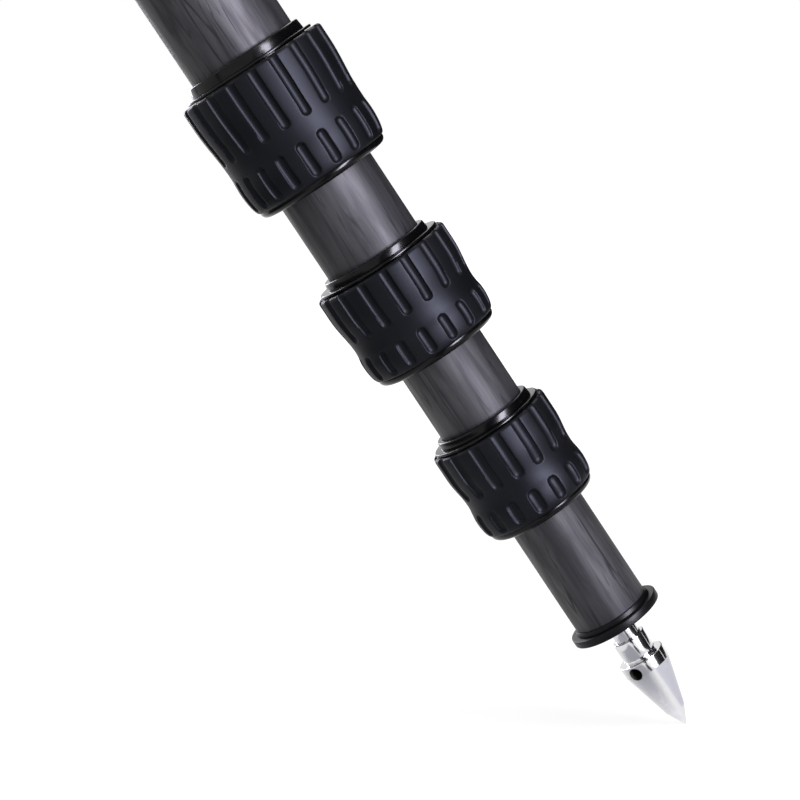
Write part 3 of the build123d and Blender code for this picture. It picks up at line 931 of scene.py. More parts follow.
@dataclass
class Grip:
    """Rubber grip of one twist lock, with two bands of round-ended grooves."""

    bulge: Point
    waist: Point
    crown: Point
    grooves: int
    groove_width: float
    first_angle: float
    low_band: Point
    high_band: Point
    groove_depth: float = 1.3
    edge_round: float = 1.3
    rim_reach: float = 0.45
    rim_depth: float = 0.22
    rim_width: float = 2.2
    floor_wall: float = 0.8
    rows_apart: float = 1.6
    least_row: float = 0.18
    top_row: float = 0.2
    edge_rows: tuple[float, ...] = (0.25, 0.6, 1.0)
    end_rows: tuple[float, ...] = (-0.35, -0.1, 0.1, 0.35, 0.75, 1.25, 1.8)
    across: tuple[float, ...] = (0.0, 0.35, 0.62, 0.8, 0.91, 1.0, 1.1, 1.25, 1.5)
    base: float = field(init=False, default=0.0)
    length: float = field(init=False, default=0.0)
    bore_radius: float = field(init=False, default=0.0)
    edge_radius: float = field(init=False, default=0.0)

    def fit(self, measure: Measure, edge_radius: float) -> None:
        """Takes the rubber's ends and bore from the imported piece.

        Args:
            measure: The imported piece.
            edge_radius: Radius of the nut's ring below it.
        """
        self.base = measure.low()
        self.length = measure.high() - self.base
        self.bore_radius = measure.bore()
        self.edge_radius = edge_radius

    def radius(self, height: float) -> float:
        """The rubber's outer radius.

        Args:
            height: Above its lower edge.

        Returns:
            The radius.
        """
        bulge_radius, bulge_height = self.bulge
        if height < bulge_height:
            rise = 1 - height / bulge_height
            return self.edge_radius + (bulge_radius - self.edge_radius) * math.sqrt(1 - rise * rise)
        low, high = (self.bulge, self.waist) if height < self.waist[1] else (self.waist, self.crown)
        share = min((height - low[1]) / (high[1] - low[1]), 1)
        return low[0] + (high[0] - low[0]) * (1 - math.cos(math.pi * share)) / 2

    def heights(self) -> list[float]:
        """Rows of points up the side, closer together where grooves end.

        Returns:
            Heights above the rubber's lower edge.
        """
        top = self.length - self.edge_round
        count = round(top / self.rows_apart)
        wanted = [top * row / count for row in range(1, count)]
        wanted += self.edge_rows
        ends = [(self.low_band[0], 1), (self.low_band[1], -1), (self.high_band[0], 1)]
        for end, side in ends:
            wanted += [end + side * offset for offset in self.end_rows]
        kept = [0.0]
        for height in sorted(wanted):
            if height - kept[-1] > self.least_row and height < top - self.top_row:
                kept.append(height)
        return kept + [top]

    def outline(self) -> list[Point]:
        """The section of the rubber, from its lower outer edge.

        Returns:
            (radius, height) points.
        """
        crown = self.crown[0]
        side = [(self.radius(height), self.base + height) for height in self.heights()]
        top = self.base + self.length
        middle = Vector((crown - self.edge_round, top - self.edge_round))
        turns = [math.radians(turn) for turn in (15, 30, 45, 60, 75, 90)]
        arc = [
            (middle.x + self.edge_round * math.cos(turn), middle.y + self.edge_round * math.sin(turn))
            for turn in turns
        ]
        bore = self.bore_radius
        inner = [(crown - self.rim_width, top), (bore, top), (bore, self.base)]
        return side + arc + inner

    def mesh(self, name: str) -> bpy.types.Mesh:
        """Spins one groove's sector, presses the grooves into it and repeats it all round.

        Args:
            name: The piece's name.

        Returns:
            The mesh, in millimetres.
        """
        bench = Bench(name)
        bench.outline(self.outline(), closed=True)
        half = self.groove_width / 2
        sector = 360 / self.grooves
        offsets = [math.degrees(half * share / self.bulge[0]) for share in self.across]
        land = sector / 2 - offsets[-1]
        turns = [land / 2, land / 2]
        turns += [high - low for low, high in zip(offsets[-2::-1], offsets[:0:-1])]
        turns += turns[::-1]
        bpy.ops.mesh.select_all(action="SELECT")
        for turn in turns:
            bench.spin(turn)
        for low, high in (self.low_band, (self.high_band[0], self.length + half)):
            self.groove(bench, low + half, high - half)
        bpy.ops.mesh.select_all(action="SELECT")
        bench.spin(360 - sector, self.grooves - 1, copies=True)
        bench.close()
        bench.turn(self.first_angle - sector / 2 - 90)
        return bench.take(smooth_angle=60)

    def groove(self, bench: Bench, low: float, high: float) -> None:
        """Presses one groove into the sector's middle column.

        Args:
            bench: The bench with the sector.
            low: Lower end of the groove's middle line, above the rubber's lower edge.
            high: Upper end of that line.
        """
        half = self.groove_width / 2
        turn = math.radians(180 / self.grooves)
        out = Vector((math.cos(turn), math.sin(turn), 0))
        inside = self.bore_radius + self.floor_wall

        def on_line(point: Vector) -> bool:
            """Whether a point is on the groove's middle line.

            Args:
                point: A point of the sector.

            Returns:
                True if it is.
            """
            flat = Vector((point.x, point.y, 0))
            height = point.z - self.base
            in_middle = abs(flat.cross(out).z) < 0.02 and flat.length > inside
            return in_middle and low - NEAR <= height <= high + NEAR

        bench.pick(on_line)
        bench.press(-out * self.rim_depth, half * (1 + self.rim_reach), "SMOOTH")
        bench.press(-out * (self.groove_depth - self.rim_depth), half, "SPHERE")


GRIPS = (
    Grip((26.95, 9.3), (26.6, 15.6), (27.9, 36.4), 20, 3.6, 16.2, (1.2, 13.9), (19.8, 42.3)),
    Grip((24.85, 7.0), (24.2, 12.6), (25.5, 26.7), 18, 3.6, 17.0, (0.9, 10.6), (16.5, 33.6)),
    Grip((22.2, 6.8), (21.4, 12.8), (22.6, 25.1), 16, 4.1, 21.8, (1.0, 10.2), (15.5, 32.8)),
)


@dataclass
class Leg:
    """One leg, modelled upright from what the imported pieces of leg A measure."""

    place: Place
    tube_wall: float = 1.5
    rim_round: float = 0.3
    bush_length: float = 30.0
    bush_gap: float = 0.03
    edge_round: float = 0.2
    fine_round: float = 0.15
    lip_round: float = 0.35
    ring_round: float = 0.6
    nut_round: float = 2.1
    seam_round: float = 0.12
    nut_floor: float = 3.5
    nut_cone: float = 3.0
    turn_gap: float = 0.3
    collet_wall: float = 1.2
    collet_gap: float = 0.2
    collet_slot: float = 3.0
    flange_round: float = 0.45
    plug_round: float = 0.4

    def measure(self, node: str) -> Measure:
        """The points of one of the leg's nodes."""
        return Measure(f"leg_{self.place.name}_{node}", self.place)

    def body(self, number: int) -> str:
        """The body of a tube and of the sleeve at its lower end, counted from the thickest tube."""
        return "leg_{leg}" if number == 1 else f"leg_{{leg}}_section_{number}"

    def tube(self, number: int) -> list[Piece]:
        """A carbon tube, and the slide bush around an inner tube's top.

        Args:
            number: 1 for the thickest.

        Returns:
            The pieces.
        """
        packed = self.measure(f"tube_{number}")
        low, high = packed.low(), packed.high()
        radius = packed.radius(high=low + 1)
        body = self.body(number)
        mesh = pipe(f"tube_{number}", radius, radius - self.tube_wall, low, high, self.rim_round)
        node = f"leg_{{leg}}_tube_{number}"
        pieces = [Piece(f"leg_{{leg}}_carbon_tube_{number}", mesh, body, CARBON, Slot.CARBON, node)]
        if number > 1:
            wide = packed.radius()
            bore = radius + self.bush_gap
            foot = high - self.bush_length
            bush = pipe(f"bush_{number}", wide, bore, foot, high, self.fine_round)
            pieces.append(Piece(f"leg_{{leg}}_slide_bush_{number}", bush, body, NYLON, Slot.NYLON))
        return pieces

    def sleeve(self, number: int) -> list[Piece]:
        """The gloss sleeve of one lock, with its thin lip, and the split collet inside.

        Args:
            number: 1 for the highest lock.

        Returns:
            The pieces.
        """
        packed = self.measure(f"lock_{number}_sleeve")
        lip = packed.radius()
        lip_low, lip_high = packed.low(lip - NEAR), packed.high(lip - NEAR)
        top = packed.high()
        wall = packed.radius(low=lip_high + NEAR)
        bore = packed.bore(low=top - NEAR)
        bottom = min(height for radius, height in packed.points if radius > wall - NEAR)
        corners = [
            Corner(bore, bottom, self.edge_round),
            Corner(wall, bottom, self.rim_round),
            Corner(wall, lip_low),
            Corner(lip, lip_low, self.lip_round),
            Corner(lip, lip_high, self.lip_round),
            Corner(wall, lip_high, self.fine_round),
            Corner(wall, top, self.ring_round),
            Corner(bore, top, self.edge_round),
        ]
        body = self.body(number)
        node = f"leg_{{leg}}_lock_{number}_sleeve"
        mesh = turned(f"sleeve_{number}", corners, sides=128)
        name = f"leg_{{leg}}_lock_{number}_top_ring"
        ring = Piece(name, mesh, body, GLOSS_BLACK, Slot.ANODISED, node)
        return [ring, self.collet(number, packed, bottom, bore)]

    def collet(self, number: int, packed: Measure, top: float, wide: float) -> Piece:
        """The split collet: an open ring that grips the lower tube.

        Args:
            number: The lock's number.
            packed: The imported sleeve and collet.
            top: The sleeve's lower end.
            wide: The sleeve's bore.

        Returns:
            The piece.
        """
        low = packed.low()
        bore = packed.bore()
        collar_top = top - self.turn_gap
        collar_low = max(height for radius, height in packed.points if height < collar_top - 1)
        collar = packed.radius(low=collar_low - NEAR, high=collar_low + NEAR)
        high = max(height for radius, height in packed.points if radius < bore + NEAR)
        inside = wide - self.collet_gap
        soft = self.fine_round
        corners = [
            Corner(bore, low, soft),
            Corner(bore + self.collet_wall, low, soft),
            Corner(collar, collar_low, soft),
            Corner(collar, collar_top, soft),
            Corner(inside, collar_top),
            Corner(inside, high, soft),
            Corner(bore, high, soft),
        ]
        bench = Bench(f"collet_{number}")
        bench.outline(rounded(corners, 2), closed=True)
        bpy.ops.mesh.select_all(action="SELECT")
        bpy.ops.mesh.edge_face_add()
        bench.spin(360 - self.collet_slot, 90)
        bpy.ops.mesh.edge_face_add()
        bench.close()
        name = f"leg_{{leg}}_lock_{number}_collet"
        return Piece(name, bench.take(), self.body(number), NYLON, Slot.NYLON)

    def nut(self, number: int) -> Piece:
        """The metal nut under the grip, whose gloss ring shows below it.

        Args:
            number: 1 for the highest lock.

        Returns:
            The piece.
        """
        packed = self.measure(f"lock_{number}_nut")
        low, high = packed.low(), packed.high()
        ring = packed.radius()
        ring_top = packed.high(ring - NEAR / 2)
        core = packed.radius(low=high - NEAR)
        thread = packed.bore(low=high - NEAR)
        hole = packed.bore()
        floor = low + self.nut_floor
        corners = [
            Corner(hole, low, self.rim_round),
            Corner(ring, low, self.nut_round),
            Corner(ring, ring_top, self.seam_round),
            Corner(core, ring_top),
            Corner(core, high, self.edge_round),
            Corner(thread, high, self.edge_round),
            Corner(thread, floor + self.nut_cone),
            Corner(hole, floor, self.edge_round),
        ]
        mesh = turned(f"nut_{number}", corners, sides=128, steps=7)
        name, node = f"leg_{{leg}}_lock_{number}_bottom_ring", f"leg_{{leg}}_lock_{number}_nut"
        return Piece(name, mesh, f"leg_{{leg}}_twist_{number}", GLOSS_BLACK, Slot.ANODISED, node)

    def grip(self, number: int) -> Piece:
        """The rubber grip of one lock.

        Args:
            number: 1 for the highest lock.

        Returns:
            The piece.
        """
        grip = GRIPS[number - 1]
        grip.fit(self.measure(f"lock_{number}_grip"), self.measure(f"lock_{number}_nut").radius())
        name, node = f"leg_{{leg}}_lock_{number}_rubber", f"leg_{{leg}}_lock_{number}_grip"
        body = f"leg_{{leg}}_twist_{number}"
        return Piece(name, grip.mesh(f"grip_{number}"), body, RUBBER, Slot.RUBBER, node)

    def foot_plug(self) -> Piece:
        """The plug in the lowest tube with its thin flange.

        Returns:
            The piece.
        """
        packed = self.measure("foot_plug")
        low, high = packed.low(), packed.high()
        flange = packed.radius()
        flange_top = packed.high(flange - NEAR)
        shoulder = packed.radius(low=flange_top + 0.5)
        shoulder_top = packed.high(shoulder - NEAR / 2)
        plug = packed.radius(low=shoulder_top + 1)
        hole = packed.bore(high=low + NEAR)
        hole_top = max(height for radius, height in packed.points if abs(radius - hole) < NEAR)
        corners = [
            Corner(hole, low, self.rim_round),
            Corner(flange, low, self.flange_round),
            Corner(flange, flange_top, self.rim_round),
            Corner(shoulder, flange_top, self.edge_round),
            Corner(shoulder, shoulder_top, self.edge_round),
            Corner(plug, shoulder_top),
            Corner(plug, high, self.plug_round),
            Corner(0, high),
            Corner(0, hole_top),
            Corner(hole, hole_top),
        ]
        mesh = turned("foot_plug", corners, sides=128)
        body, node = "leg_{leg}_section_4", "leg_{leg}_foot_plug"
        return Piece("leg_{leg}_foot_flange", mesh, body, SATIN_BLACK, Slot.ANODISED, node)

    def spike(self) -> Piece:
        """The polished spike: tip, cone, band with a cross hole, groove, collar, neck and stud.

        Returns:
            The piece.
        """
        mesh = Spike().mesh(self.measure("spike").high())
        body, node = "leg_{leg}_section_4", "leg_{leg}_spike"
        return Piece("leg_{leg}_steel_spike", mesh, body, DRILLED, Slot.STEEL, node)

    def pieces(self) -> list[Piece]:
        """Every piece of the leg.

        Returns:
            The pieces, from the tubes to the spike.
        """
        made = [piece for number in (1, 2, 3, 4) for piece in self.tube(number)]
        for number in (1, 2, 3):
            made += [*self.sleeve(number), self.nut(number), self.grip(number)]
        return made + [self.foot_plug(), self.spike()]


@dataclass
class Spike:
    """The steel spike's sizes, from its tip up."""

    tip_radius: float = 0.6
    shank_radius: float = 3.75
    tip_height: float = 7.0
    band_radius: float = 8.65
    cone_height: float = 25.6
    band_top: float = 30.1
    groove_radius: float = 5.6
    groove_top: float = 31.1
    collar_radius: float = 6.15
    collar_top: float = 38.4
    neck_radius: float = 4.5
    neck_top: float = 45.5
    stud_radius: float = 4.7
    thread_pitch: float = 1.5875
    thread_depth: float = 0.8
    hole: CrossHole = CrossHole()
    sides: int = 128

    def stud(self, top: float) -> list[Corner]:
        """Corners of the stud with its thread's ridges.

        Args:
            top: The stud's upper end.

        Returns:
            The corners, upward.
        """
        count = int((top - self.neck_top - 1) / self.thread_pitch)
        corners = []
        for ridge in range(count):
            low = self.neck_top + 0.5 + ridge * self.thread_pitch
            corners.append(Corner(self.stud_radius - self.thread_depth, low))
            corners.append(Corner(self.stud_radius, low + self.thread_pitch / 2))
        return corners + [Corner(self.stud_radius - self.thread_depth, top), Corner(0, top)]

    def mesh(self, top: float) -> bpy.types.Mesh:
        """Turns the spike and drills its cross hole.

        Args:
            top: The stud's upper end.

        Returns:
            The mesh, in millimetres.
        """
        corners = [
            Corner(0, 0),
            Corner(self.tip_radius, self.tip_radius, 0.3),
            Corner(self.shank_radius, self.tip_height, 2.0),
            Corner(self.band_radius, self.cone_height, 0.25),
            Corner(self.band_radius, self.band_top, 0.3),
            Corner(self.groove_radius, self.band_top, 0.1),
            Corner(self.groove_radius, self.groove_top, 0.1),
            Corner(self.collar_radius, self.groove_top, 0.15),
            Corner(self.collar_radius, self.collar_top, 0.3),
            Corner(self.neck_radius, self.collar_top, 0.2),
            Corner(self.neck_radius, self.neck_top),
        ]
        bench = Bench("spike")
        bench.outline(rounded(corners + self.stud(top)), closed=True)
        bpy.ops.mesh.select_all(action="SELECT")
        bench.spin(360, self.sides)
        bench.close()
        bpy.ops.object.mode_set(mode="OBJECT")
        spike = bench.object
        bpy.ops.mesh.primitive_cylinder_add(
            vertices=48,
            radius=self.hole.radius,
            depth=4 * self.band_radius,
            location=(0, 0, self.hole.height),
            rotation=(0, math.pi / 2, self.hole.turn()),
        )
        drill = bpy.context.object
        bench.object = spike
        bench.apply("BOOLEAN", object=drill, operation="DIFFERENCE", solver="EXACT")
        bpy.data.objects.remove(drill)
        return bench.take(smooth_angle=28)


# Cast, machined and bought pieces of the head and shoulders


def softened(
    node: str, place: Place, width: float, angle: float = 35.0, steps: int = 2
) -> bpy.types.Mesh:
    """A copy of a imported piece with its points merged, its flats joined and its edges rounded.

    Args:
        node: The node's name.
        place: The place whose millimetres the copy is in.
        width: How far the edges are rounded.
        angle: Edges sharper than this are rounded, in degrees.
        steps: Pieces of each rounded edge.

    Returns:
        The mesh, in millimetres.
    """
    bench = Bench(f"soft_{node}")
    bpy.ops.mesh.select_all(action="SELECT")
    bpy.ops.mesh.delete(type="VERT")
    bpy.ops.object.mode_set(mode="OBJECT")
    mesh = frame["nodes"][node].data.copy()
    mesh.transform(place.matrix().inverted())
    mesh.materials.clear()
    bench.object.data = mesh
    bpy.ops.object.mode_set(mode="EDIT")
    bpy.ops.mesh.select_all(action="SELECT")
    bpy.ops.mesh.customdata_custom_splitnormals_clear()
    bpy.ops.mesh.remove_doubles(threshold=bench.merge_distance)
    bpy.ops.mesh.dissolve_limited(angle_limit=math.radians(1.0))
    bench.apply(
        "BEVEL", width=width, segments=steps, limit_method="ANGLE", angle_limit=math.radians(angle)
    )
    bench.apply("WEIGHTED_NORMAL", keep_sharp=True)
    return bench.take(smooth_angle=50)


def thread(
    name: str, radius: float, depth: float, pitch: float, low: float, high: float
) -> bpy.types.Mesh:
    """A screw thread as one solid, cut flat at both ends.

    Args:
        name: The piece's name.
        radius: Outer radius.
        depth: How deep the thread is cut.
        pitch: Rise of one turn.
        low: Lower end.
        high: Upper end.

    Returns:
        The mesh, in millimetres.
    """
    root = radius - depth
    flat = pitch / 8
    bench = Bench(name)
    start = low - 2 * pitch
    points = [
        (root, start),
        (root, start + flat),
        (radius, start + pitch / 2),
        (radius, start + pitch / 2 + flat),
        (root, start + pitch),
    ]
    bench.outline(points, closed=False)
    turns = math.ceil((high - low) / pitch) + 4
    bench.apply(
        "SCREW",
        axis="Z",
        screw_offset=pitch,
        iterations=turns,
        steps=48,
        render_steps=48,
        use_merge_vertices=True,
        merge_threshold=bench.merge_distance,
    )
    bpy.ops.mesh.select_all(action="SELECT")
    bpy.ops.mesh.remove_doubles(threshold=bench.merge_distance)
    for height, side in ((low, -1), (high, 1)):
        bpy.ops.mesh.select_all(action="SELECT")
        bpy.ops.mesh.bisect(
            plane_co=(0, 0, height), plane_no=(0, 0, side), use_fill=True, clear_outer=True
        )
    bench.close()
    return bench.take(smooth_angle=30)


@dataclass
class Shoulders:
    """The cast shoulder and the angle tab of each leg, with their edges rounded."""

    place: Place
    cast_round: float = 0.9
    tab_round: float = 0.6

    def pieces(self) -> list[Piece]:
        """The shoulder and the tab.

        Returns:
            The two pieces.
        """
        letter = self.place.name
        shoulder = softened(f"leg_{letter}_shoulder", self.place, self.cast_round, steps=3)
        tab = softened(f"leg_{letter}_angle_tab", self.place, self.tab_round)
        cast, grey = (CAST_BLACK, Slot.CAST), (TAB_GREY, Slot.GREY)
        return [
            Piece("leg_{leg}_cast_shoulder", shoulder, "leg_{leg}", *cast, "leg_{leg}_shoulder"),
            Piece("leg_{leg}_stop_tab", tab, "leg_{leg}_tab", *grey, "leg_{leg}_angle_tab"),
        ]


@dataclass
class Level:
    """The bubble level: a rim, the fluid, a ring mark and the bubble."""

    rim_wall: float = 0.8
    rim_depth: float = 0.6
    fit_gap: float = 0.02
    edge_drop: float = 0.2
    mark_radii: Point = (1.75, 2.0)
    mark_drops: Point = (0.12, 0.005)
    bubble_radii: Point = (1.3, 1.1)
    bubble_drops: Point = (0.12, 0.01)
    bubble_depth: float = 0.15

    def rim(self, radius: float, bottom: float, top: float) -> list[Corner]:
        """The rim's section.

        Args:
            radius: The level's radius.
            bottom: Its lower end.
            top: Its upper end.

        Returns:
            The corners.
        """
        bore = radius - self.rim_wall
        floor = top - self.rim_depth
        return [
            Corner(0, bottom),
            Corner(radius, bottom, 0.2),
            Corner(radius, top, 0.15),
            Corner(bore, top, 0.15),
            Corner(bore, floor),
            Corner(0, floor),
        ]

    def fluid(self, radius: float, top: float) -> list[Corner]:
        """The fluid's section, slightly domed and just clear of the rim.

        Args:
            radius: The level's radius.
            top: Its upper end.

        Returns:
            The corners.
        """
        edge = radius - self.rim_wall - self.fit_gap
        floor = top - self.rim_depth + self.fit_gap
        return [
            Corner(0, floor),
            Corner(edge, floor),
            Corner(edge, top - self.edge_drop, 0.15),
            Corner(0, top - self.fit_gap),
        ]

    def mark(self, top: float) -> list[Corner]:
        """The ring mark's section.

        Args:
            top: The level's upper end.

        Returns:
            The corners.
        """
        inner, outer = self.mark_radii
        low, high = (top - drop for drop in self.mark_drops)
        return [Corner(inner, low), Corner(outer, low), Corner(outer, high), Corner(inner, high)]

    def bubble(self, top: float) -> list[Corner]:
        """The bubble's section.

        Args:
            top: The level's upper end.

        Returns:
            The corners.
        """
        wide, narrow = self.bubble_radii
        low, high = (top - drop for drop in self.bubble_drops)
        return [
            Corner(0, top - self.bubble_depth),
            Corner(wide, low),
            Corner(narrow, high, 0.05),
            Corner(0, top),
        ]

    def pieces(self) -> list[Piece]:
        """The level's pieces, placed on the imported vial.

        Returns:
            The pieces.
        """
        low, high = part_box("level_vial")
        middle = (low + high) / 2
        radius = (high.x - low.x) / 2 / MM
        top, bottom = high.z / MM, low.z / MM
        made = []
        for name, corners, finish, node in (
            ("level_rim", self.rim(radius, bottom, top), SATIN_BLACK, "level_vial"),
            ("level_fluid", self.fluid(radius, top), VIAL_GREEN, ""),
            ("level_mark", self.mark(top), SATIN_BLACK, ""),
            ("level_bubble", self.bubble(top), BUBBLE, ""),
        ):
            mesh = turned(name, corners, sides=48, steps=2)
            mesh.transform(Matrix.Translation((middle.x / MM, middle.y / MM, 0)))
            made.append(Piece(name, mesh, "head", finish, Slot.VIAL, node))
        return made


@dataclass
class Head:
    """The head: casting, top plate, screw with its hand wheel, hook, clamp knob, level and bolts."""

    place: Place = Place("head", Vector((0, 0, 0)), Quaternion())
    cast_round: float = 0.9
    small_round: float = 0.35
    washer_round: float = 0.1
    screw_radius: float = 4.76
    screw_depth: float = 0.85
    screw_pitch: float = 1.5875

    def soft(self, node: str, name: str, body: str, finish: Finish, slot: Slot, width: float) -> Piece:
        """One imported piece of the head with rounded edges.

        Args:
            node: The node's name.
            name: The new piece's name.
            body: The body that it rides on.
            finish: Its finish.
            slot: Its material slot.
            width: How far its edges are rounded.

        Returns:
            The piece.
        """
        return Piece(name, softened(node, self.place, width), body, finish, slot, node)

    def pieces(self) -> list[Piece]:
        """Every piece of the head.

        Returns:
            The pieces.
        """
        stud_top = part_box("head_screw")[1].z / MM
        stud = thread("stud", self.screw_radius, self.screw_depth, self.screw_pitch, 0.0, stud_top)
        small, large = self.small_round, self.cast_round
        steel, bolt = (POLISHED, Slot.STEEL), (BOLT_STEEL, Slot.BOLT)
        cast, black = (CAST_BLACK, Slot.CAST), (SATIN_BLACK, Slot.ANODISED)
        washer = (NYLON, Slot.NYLON)
        return [
            self.soft("apex_casting", "apex", "head", *cast, large),
            self.soft("top_plate", "camera_plate", "head", *black, small),
            self.soft("head_screw", "wheel_and_screw", "head_screw", *black, small),
            Piece("screw_thread", stud, "head_screw", BOLT_STEEL, Slot.BOLT),
            self.soft("hook_clip", "hook_ring", "head_screw", *bolt, small),
            self.soft("bag_hook", "weight_hook", "hook", *steel, small),
            self.soft("clamp_knob", "plate_knob", "clamp_knob", *black, small),
            self.soft("hinge_bolts", "pivot_bolts", "head", *bolt, small),
            self.soft("hinge_washers", "pivot_washers", "head", *washer, self.washer_round),
            *Level().pieces(),
        ]


# The studio


@dataclass(frozen=True)
class Camera:
    """The photograph's view of leg A's lower end."""

    location: Triple = (0.23034, -0.8528, -0.43562)
    aim: Triple = (0.26648, 0.0, -0.56171)
    roll: float = -8.468
    lens: float = 112.1
    sensor: float = 36.0

    def make(self) -> None:
        """Sets up the scene's camera."""
        data = bpy.data.cameras.new("camera")
        data.lens = self.lens
        data.sensor_width = self.sensor
        camera = bpy.data.objects.new("camera", data)
        bpy.context.scene.collection.objects.link(camera)
        look = (Vector(self.aim) - Vector(self.location)).to_track_quat("-Z", "Y")
        camera.rotation_mode = "QUATERNION"
        camera.rotation_quaternion = look @ Quaternion((0, 0, 1), math.radians(self.roll))
        camera.location = self.location
        bpy.context.scene.camera = camera


def towards(side: float, elevation: float) -> Vector:
    """A direction away from the photographed leg.

    Args:
        side: Degrees around the leg. 0 is the camera's side, rightward positive.
        elevation: Degrees above the floor's plane.

    Returns:
        The direction, of length 1.
    """
    around, up = math.radians(side), math.radians(elevation)
    level = math.cos(up)
    return Vector((math.sin(around) * level, -math.cos(around) * level, math.sin(up)))


@dataclass(frozen=True)
class Softbox:
    """A soft lamp, placed around the photographed leg as seen from the camera."""

    name: str
    side: float
    elevation: float
    distance: float
    width: float
    height: float
    power: float
    colour: Triple = (1.0, 1.0, 1.0)
    gloss_only: bool = False
    target: Triple = (0.27, 0.0, -0.55)

    def make(self) -> None:
        """Puts the lamp up, turned to its target."""
        data = bpy.data.lights.new(self.name, "AREA")
        data.shape = "RECTANGLE"
        data.size = self.width
        data.size_y = self.height
        data.energy = self.power
        data.color = self.colour
        lamp = bpy.data.objects.new(self.name, data)
        bpy.context.scene.collection.objects.link(lamp)
        away = towards(self.side, self.elevation)
        lamp.location = Vector(self.target) + away * self.distance
        lamp.rotation_mode = "QUATERNION"
        lamp.rotation_quaternion = (-away).to_track_quat("-Z", "Y")
        lamp.visible_camera = False
        lamp.visible_diffuse = not self.gloss_only


@dataclass(frozen=True)
class Card:
    """A dark or pale card that only reflections show, as photographers put beside polished metal."""

    name: str
    side: float
    elevation: float
    distance: float
    width: float
    height: float
    target: Triple = (0.33, 0.0, -0.64)
    shade: float = 0.02
    soft: bool = False
    soft_edge: Point = (0.25, 0.5)

    def make(self) -> None:
        """Stands the card up, turned to its target."""
        away = towards(self.side, self.elevation)
        bpy.ops.object.select_all(action="DESELECT")
        place = Vector(self.target) + away * self.distance
        bpy.ops.mesh.primitive_plane_add(size=1, location=place)
        card = bpy.context.object
        card.name = self.name
        card.rotation_mode = "QUATERNION"
        card.rotation_quaternion = (-away).to_track_quat("-Z", "Y")
        card.scale = (self.width, self.height, 1)
        card.data.materials.append(self.material())
        for ray in ("camera", "diffuse", "transmission", "shadow", "volume_scatter"):
            setattr(card, f"visible_{ray}", False)

    def material(self) -> bpy.types.Material:
        """The card's paper, which fades out towards the edge of a soft card.

        Returns:
            The material.
        """
        material = bpy.data.materials.new(self.name)
        material.use_nodes = True
        graph = Graph(material.node_tree)
        colour = (self.shade, self.shade, 1.1 * self.shade, 1)
        surface = graph.add("ShaderNodeBsdfDiffuse", None, {"Color": colour})
        if self.soft:
            out = graph.length(graph.add("ShaderNodeTexCoord", output="Object"))
            clear = graph.add("ShaderNodeBsdfTransparent")
            sockets = {0: out.between(*self.soft_edge), 1: surface, 2: clear}
            surface = graph.add("ShaderNodeMixShader", None, sockets)
        graph.add("ShaderNodeOutputMaterial", None, {"Surface": surface})
        return material


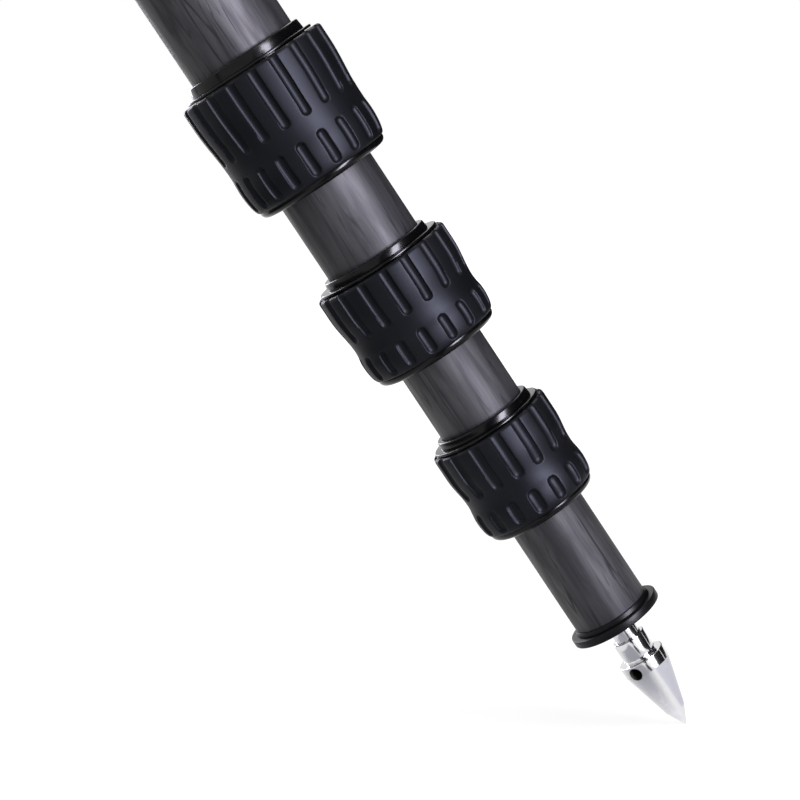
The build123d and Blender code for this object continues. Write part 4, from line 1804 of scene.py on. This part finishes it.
@dataclass
class Studio:
    """White floor and surroundings, soft lamps, cards for the reflections, and the camera."""

    floor_size: float = 12.0
    fill: float = 0.6
    floor_colour: float = 0.55
    shadow_radii: Point = (0.4, 1.2)
    near_glow: float = 0.55
    white_level: float = 1.02
    lamps: tuple[Softbox, ...] = (
        Softbox("key", 30, 45, 2.2, 1.2, 1.2, 16),
        Softbox("left", -80, 40, 2.4, 1.2, 1.2, 10),
        Softbox("back", 170, 40, 2.6, 1.4, 1.2, 14),
        Softbox("strip", 36, 8, 1.2, 0.36, 1.1, 72, (0.88, 0.86, 1.0), True),
        Softbox("back_strip", 205, 12, 1.6, 0.3, 1.3, 14, (0.88, 0.86, 1.0), True),
    )
    cards: tuple[Card, ...] = (
        Card("card_right", 73, 12, 1.3, 1.1, 2.4),
        Card("card_camera", -3, 4, 0.22, 0.1, 0.5),
        Card("card_floor", -85, -89, 0.1, 0.7, 0.42, (0.07, -0.11, -0.592)),
        Card("card_back", 133, 8, 0.45, 0.66, 0.54, (0.24, 0.0, -0.43)),
        Card("card_near", 90, -89, 0.1, 0.26, 0.16, (0.465, 0.0, -0.592), 0.5, True),
        Card("card_left", 90, -89, 0.1, 0.16, 0.1, (0.31, -0.05, -0.592), 0.5, True),
        Card("card_middle", 90, -89, 0.1, 0.16, 0.05, (0.352, -0.14, -0.5919), 0.05, True),
        Card("card_pale", 90, -89, 0.1, 0.4, 0.34, (0.38, 0.0, -0.5922), 0.85, True),
    )

    def world(self) -> None:
        """White where it is seen, itself or in a reflection, and a plain level of light elsewhere."""
        world = bpy.data.worlds.new("studio")
        world.use_nodes = True
        bpy.context.scene.world = world
        graph = Graph(world.node_tree)
        seen = graph.seen("Is Camera Ray", "Is Glossy Ray", "Is Transmission Ray")
        white = {"Color": (1, 1, 1, 1), "Strength": seen * (1 - self.fill) + self.fill}
        shine = graph.add("ShaderNodeBackground", None, white)
        graph.add("ShaderNodeOutputWorld", None, {"Surface": shine})

    def floor(self) -> None:
        """A white floor that keeps a soft shadow near the tripod and is plain white further out."""
        lowest = CAD_BOX[0][2]
        bpy.ops.object.select_all(action="DESELECT")
        bpy.ops.mesh.primitive_plane_add(size=self.floor_size, location=(0, 0, lowest))
        floor = bpy.context.object
        floor.name = "floor"
        material = bpy.data.materials.new("floor_white")
        material.use_nodes = True
        graph = Graph(material.node_tree)
        seen = graph.seen("Is Camera Ray", "Is Glossy Ray")
        grey = (self.floor_colour,) * 3 + (1,)
        matt = graph.add("ShaderNodeBsdfDiffuse", None, {"Color": grey})
        away = graph.length(graph.add("ShaderNodeTexCoord", output="Object"))
        far_glow = self.white_level - self.floor_colour * self.fill
        glow = away.between(*self.shadow_radii) * (far_glow - self.near_glow)
        light = {"Color": (1, 1, 1, 1), "Strength": seen * (glow + self.near_glow)}
        shine = graph.add("ShaderNodeEmission", None, light)
        both = graph.add("ShaderNodeAddShader", None, {0: matt, 1: shine})
        graph.add("ShaderNodeOutputMaterial", None, {"Surface": both})
        floor.data.materials.append(material)

    def make(self) -> None:
        """Sets the studio up."""
        bpy.context.scene.view_settings.view_transform = "Standard"
        Camera().make()
        self.world()
        self.floor()
        for item in (*self.lamps, *self.cards):
            item.make()


def main() -> None:
    """Builds the tripod's looks, piece by piece, and the studio around it."""
    logging.basicConfig(level=logging.INFO, format="%(message)s")
    Studio().make()
    places = [LegPlace(letter).place() for letter in LEG_LETTERS]
    for piece in (*Leg(places[0]).pieces(), *Shoulders(places[0]).pieces()):
        for place in places:
            piece.put(place)
    head = Head()
    for piece in head.pieces():
        piece.put(head.place)


if __name__ == "__main__":
    main()
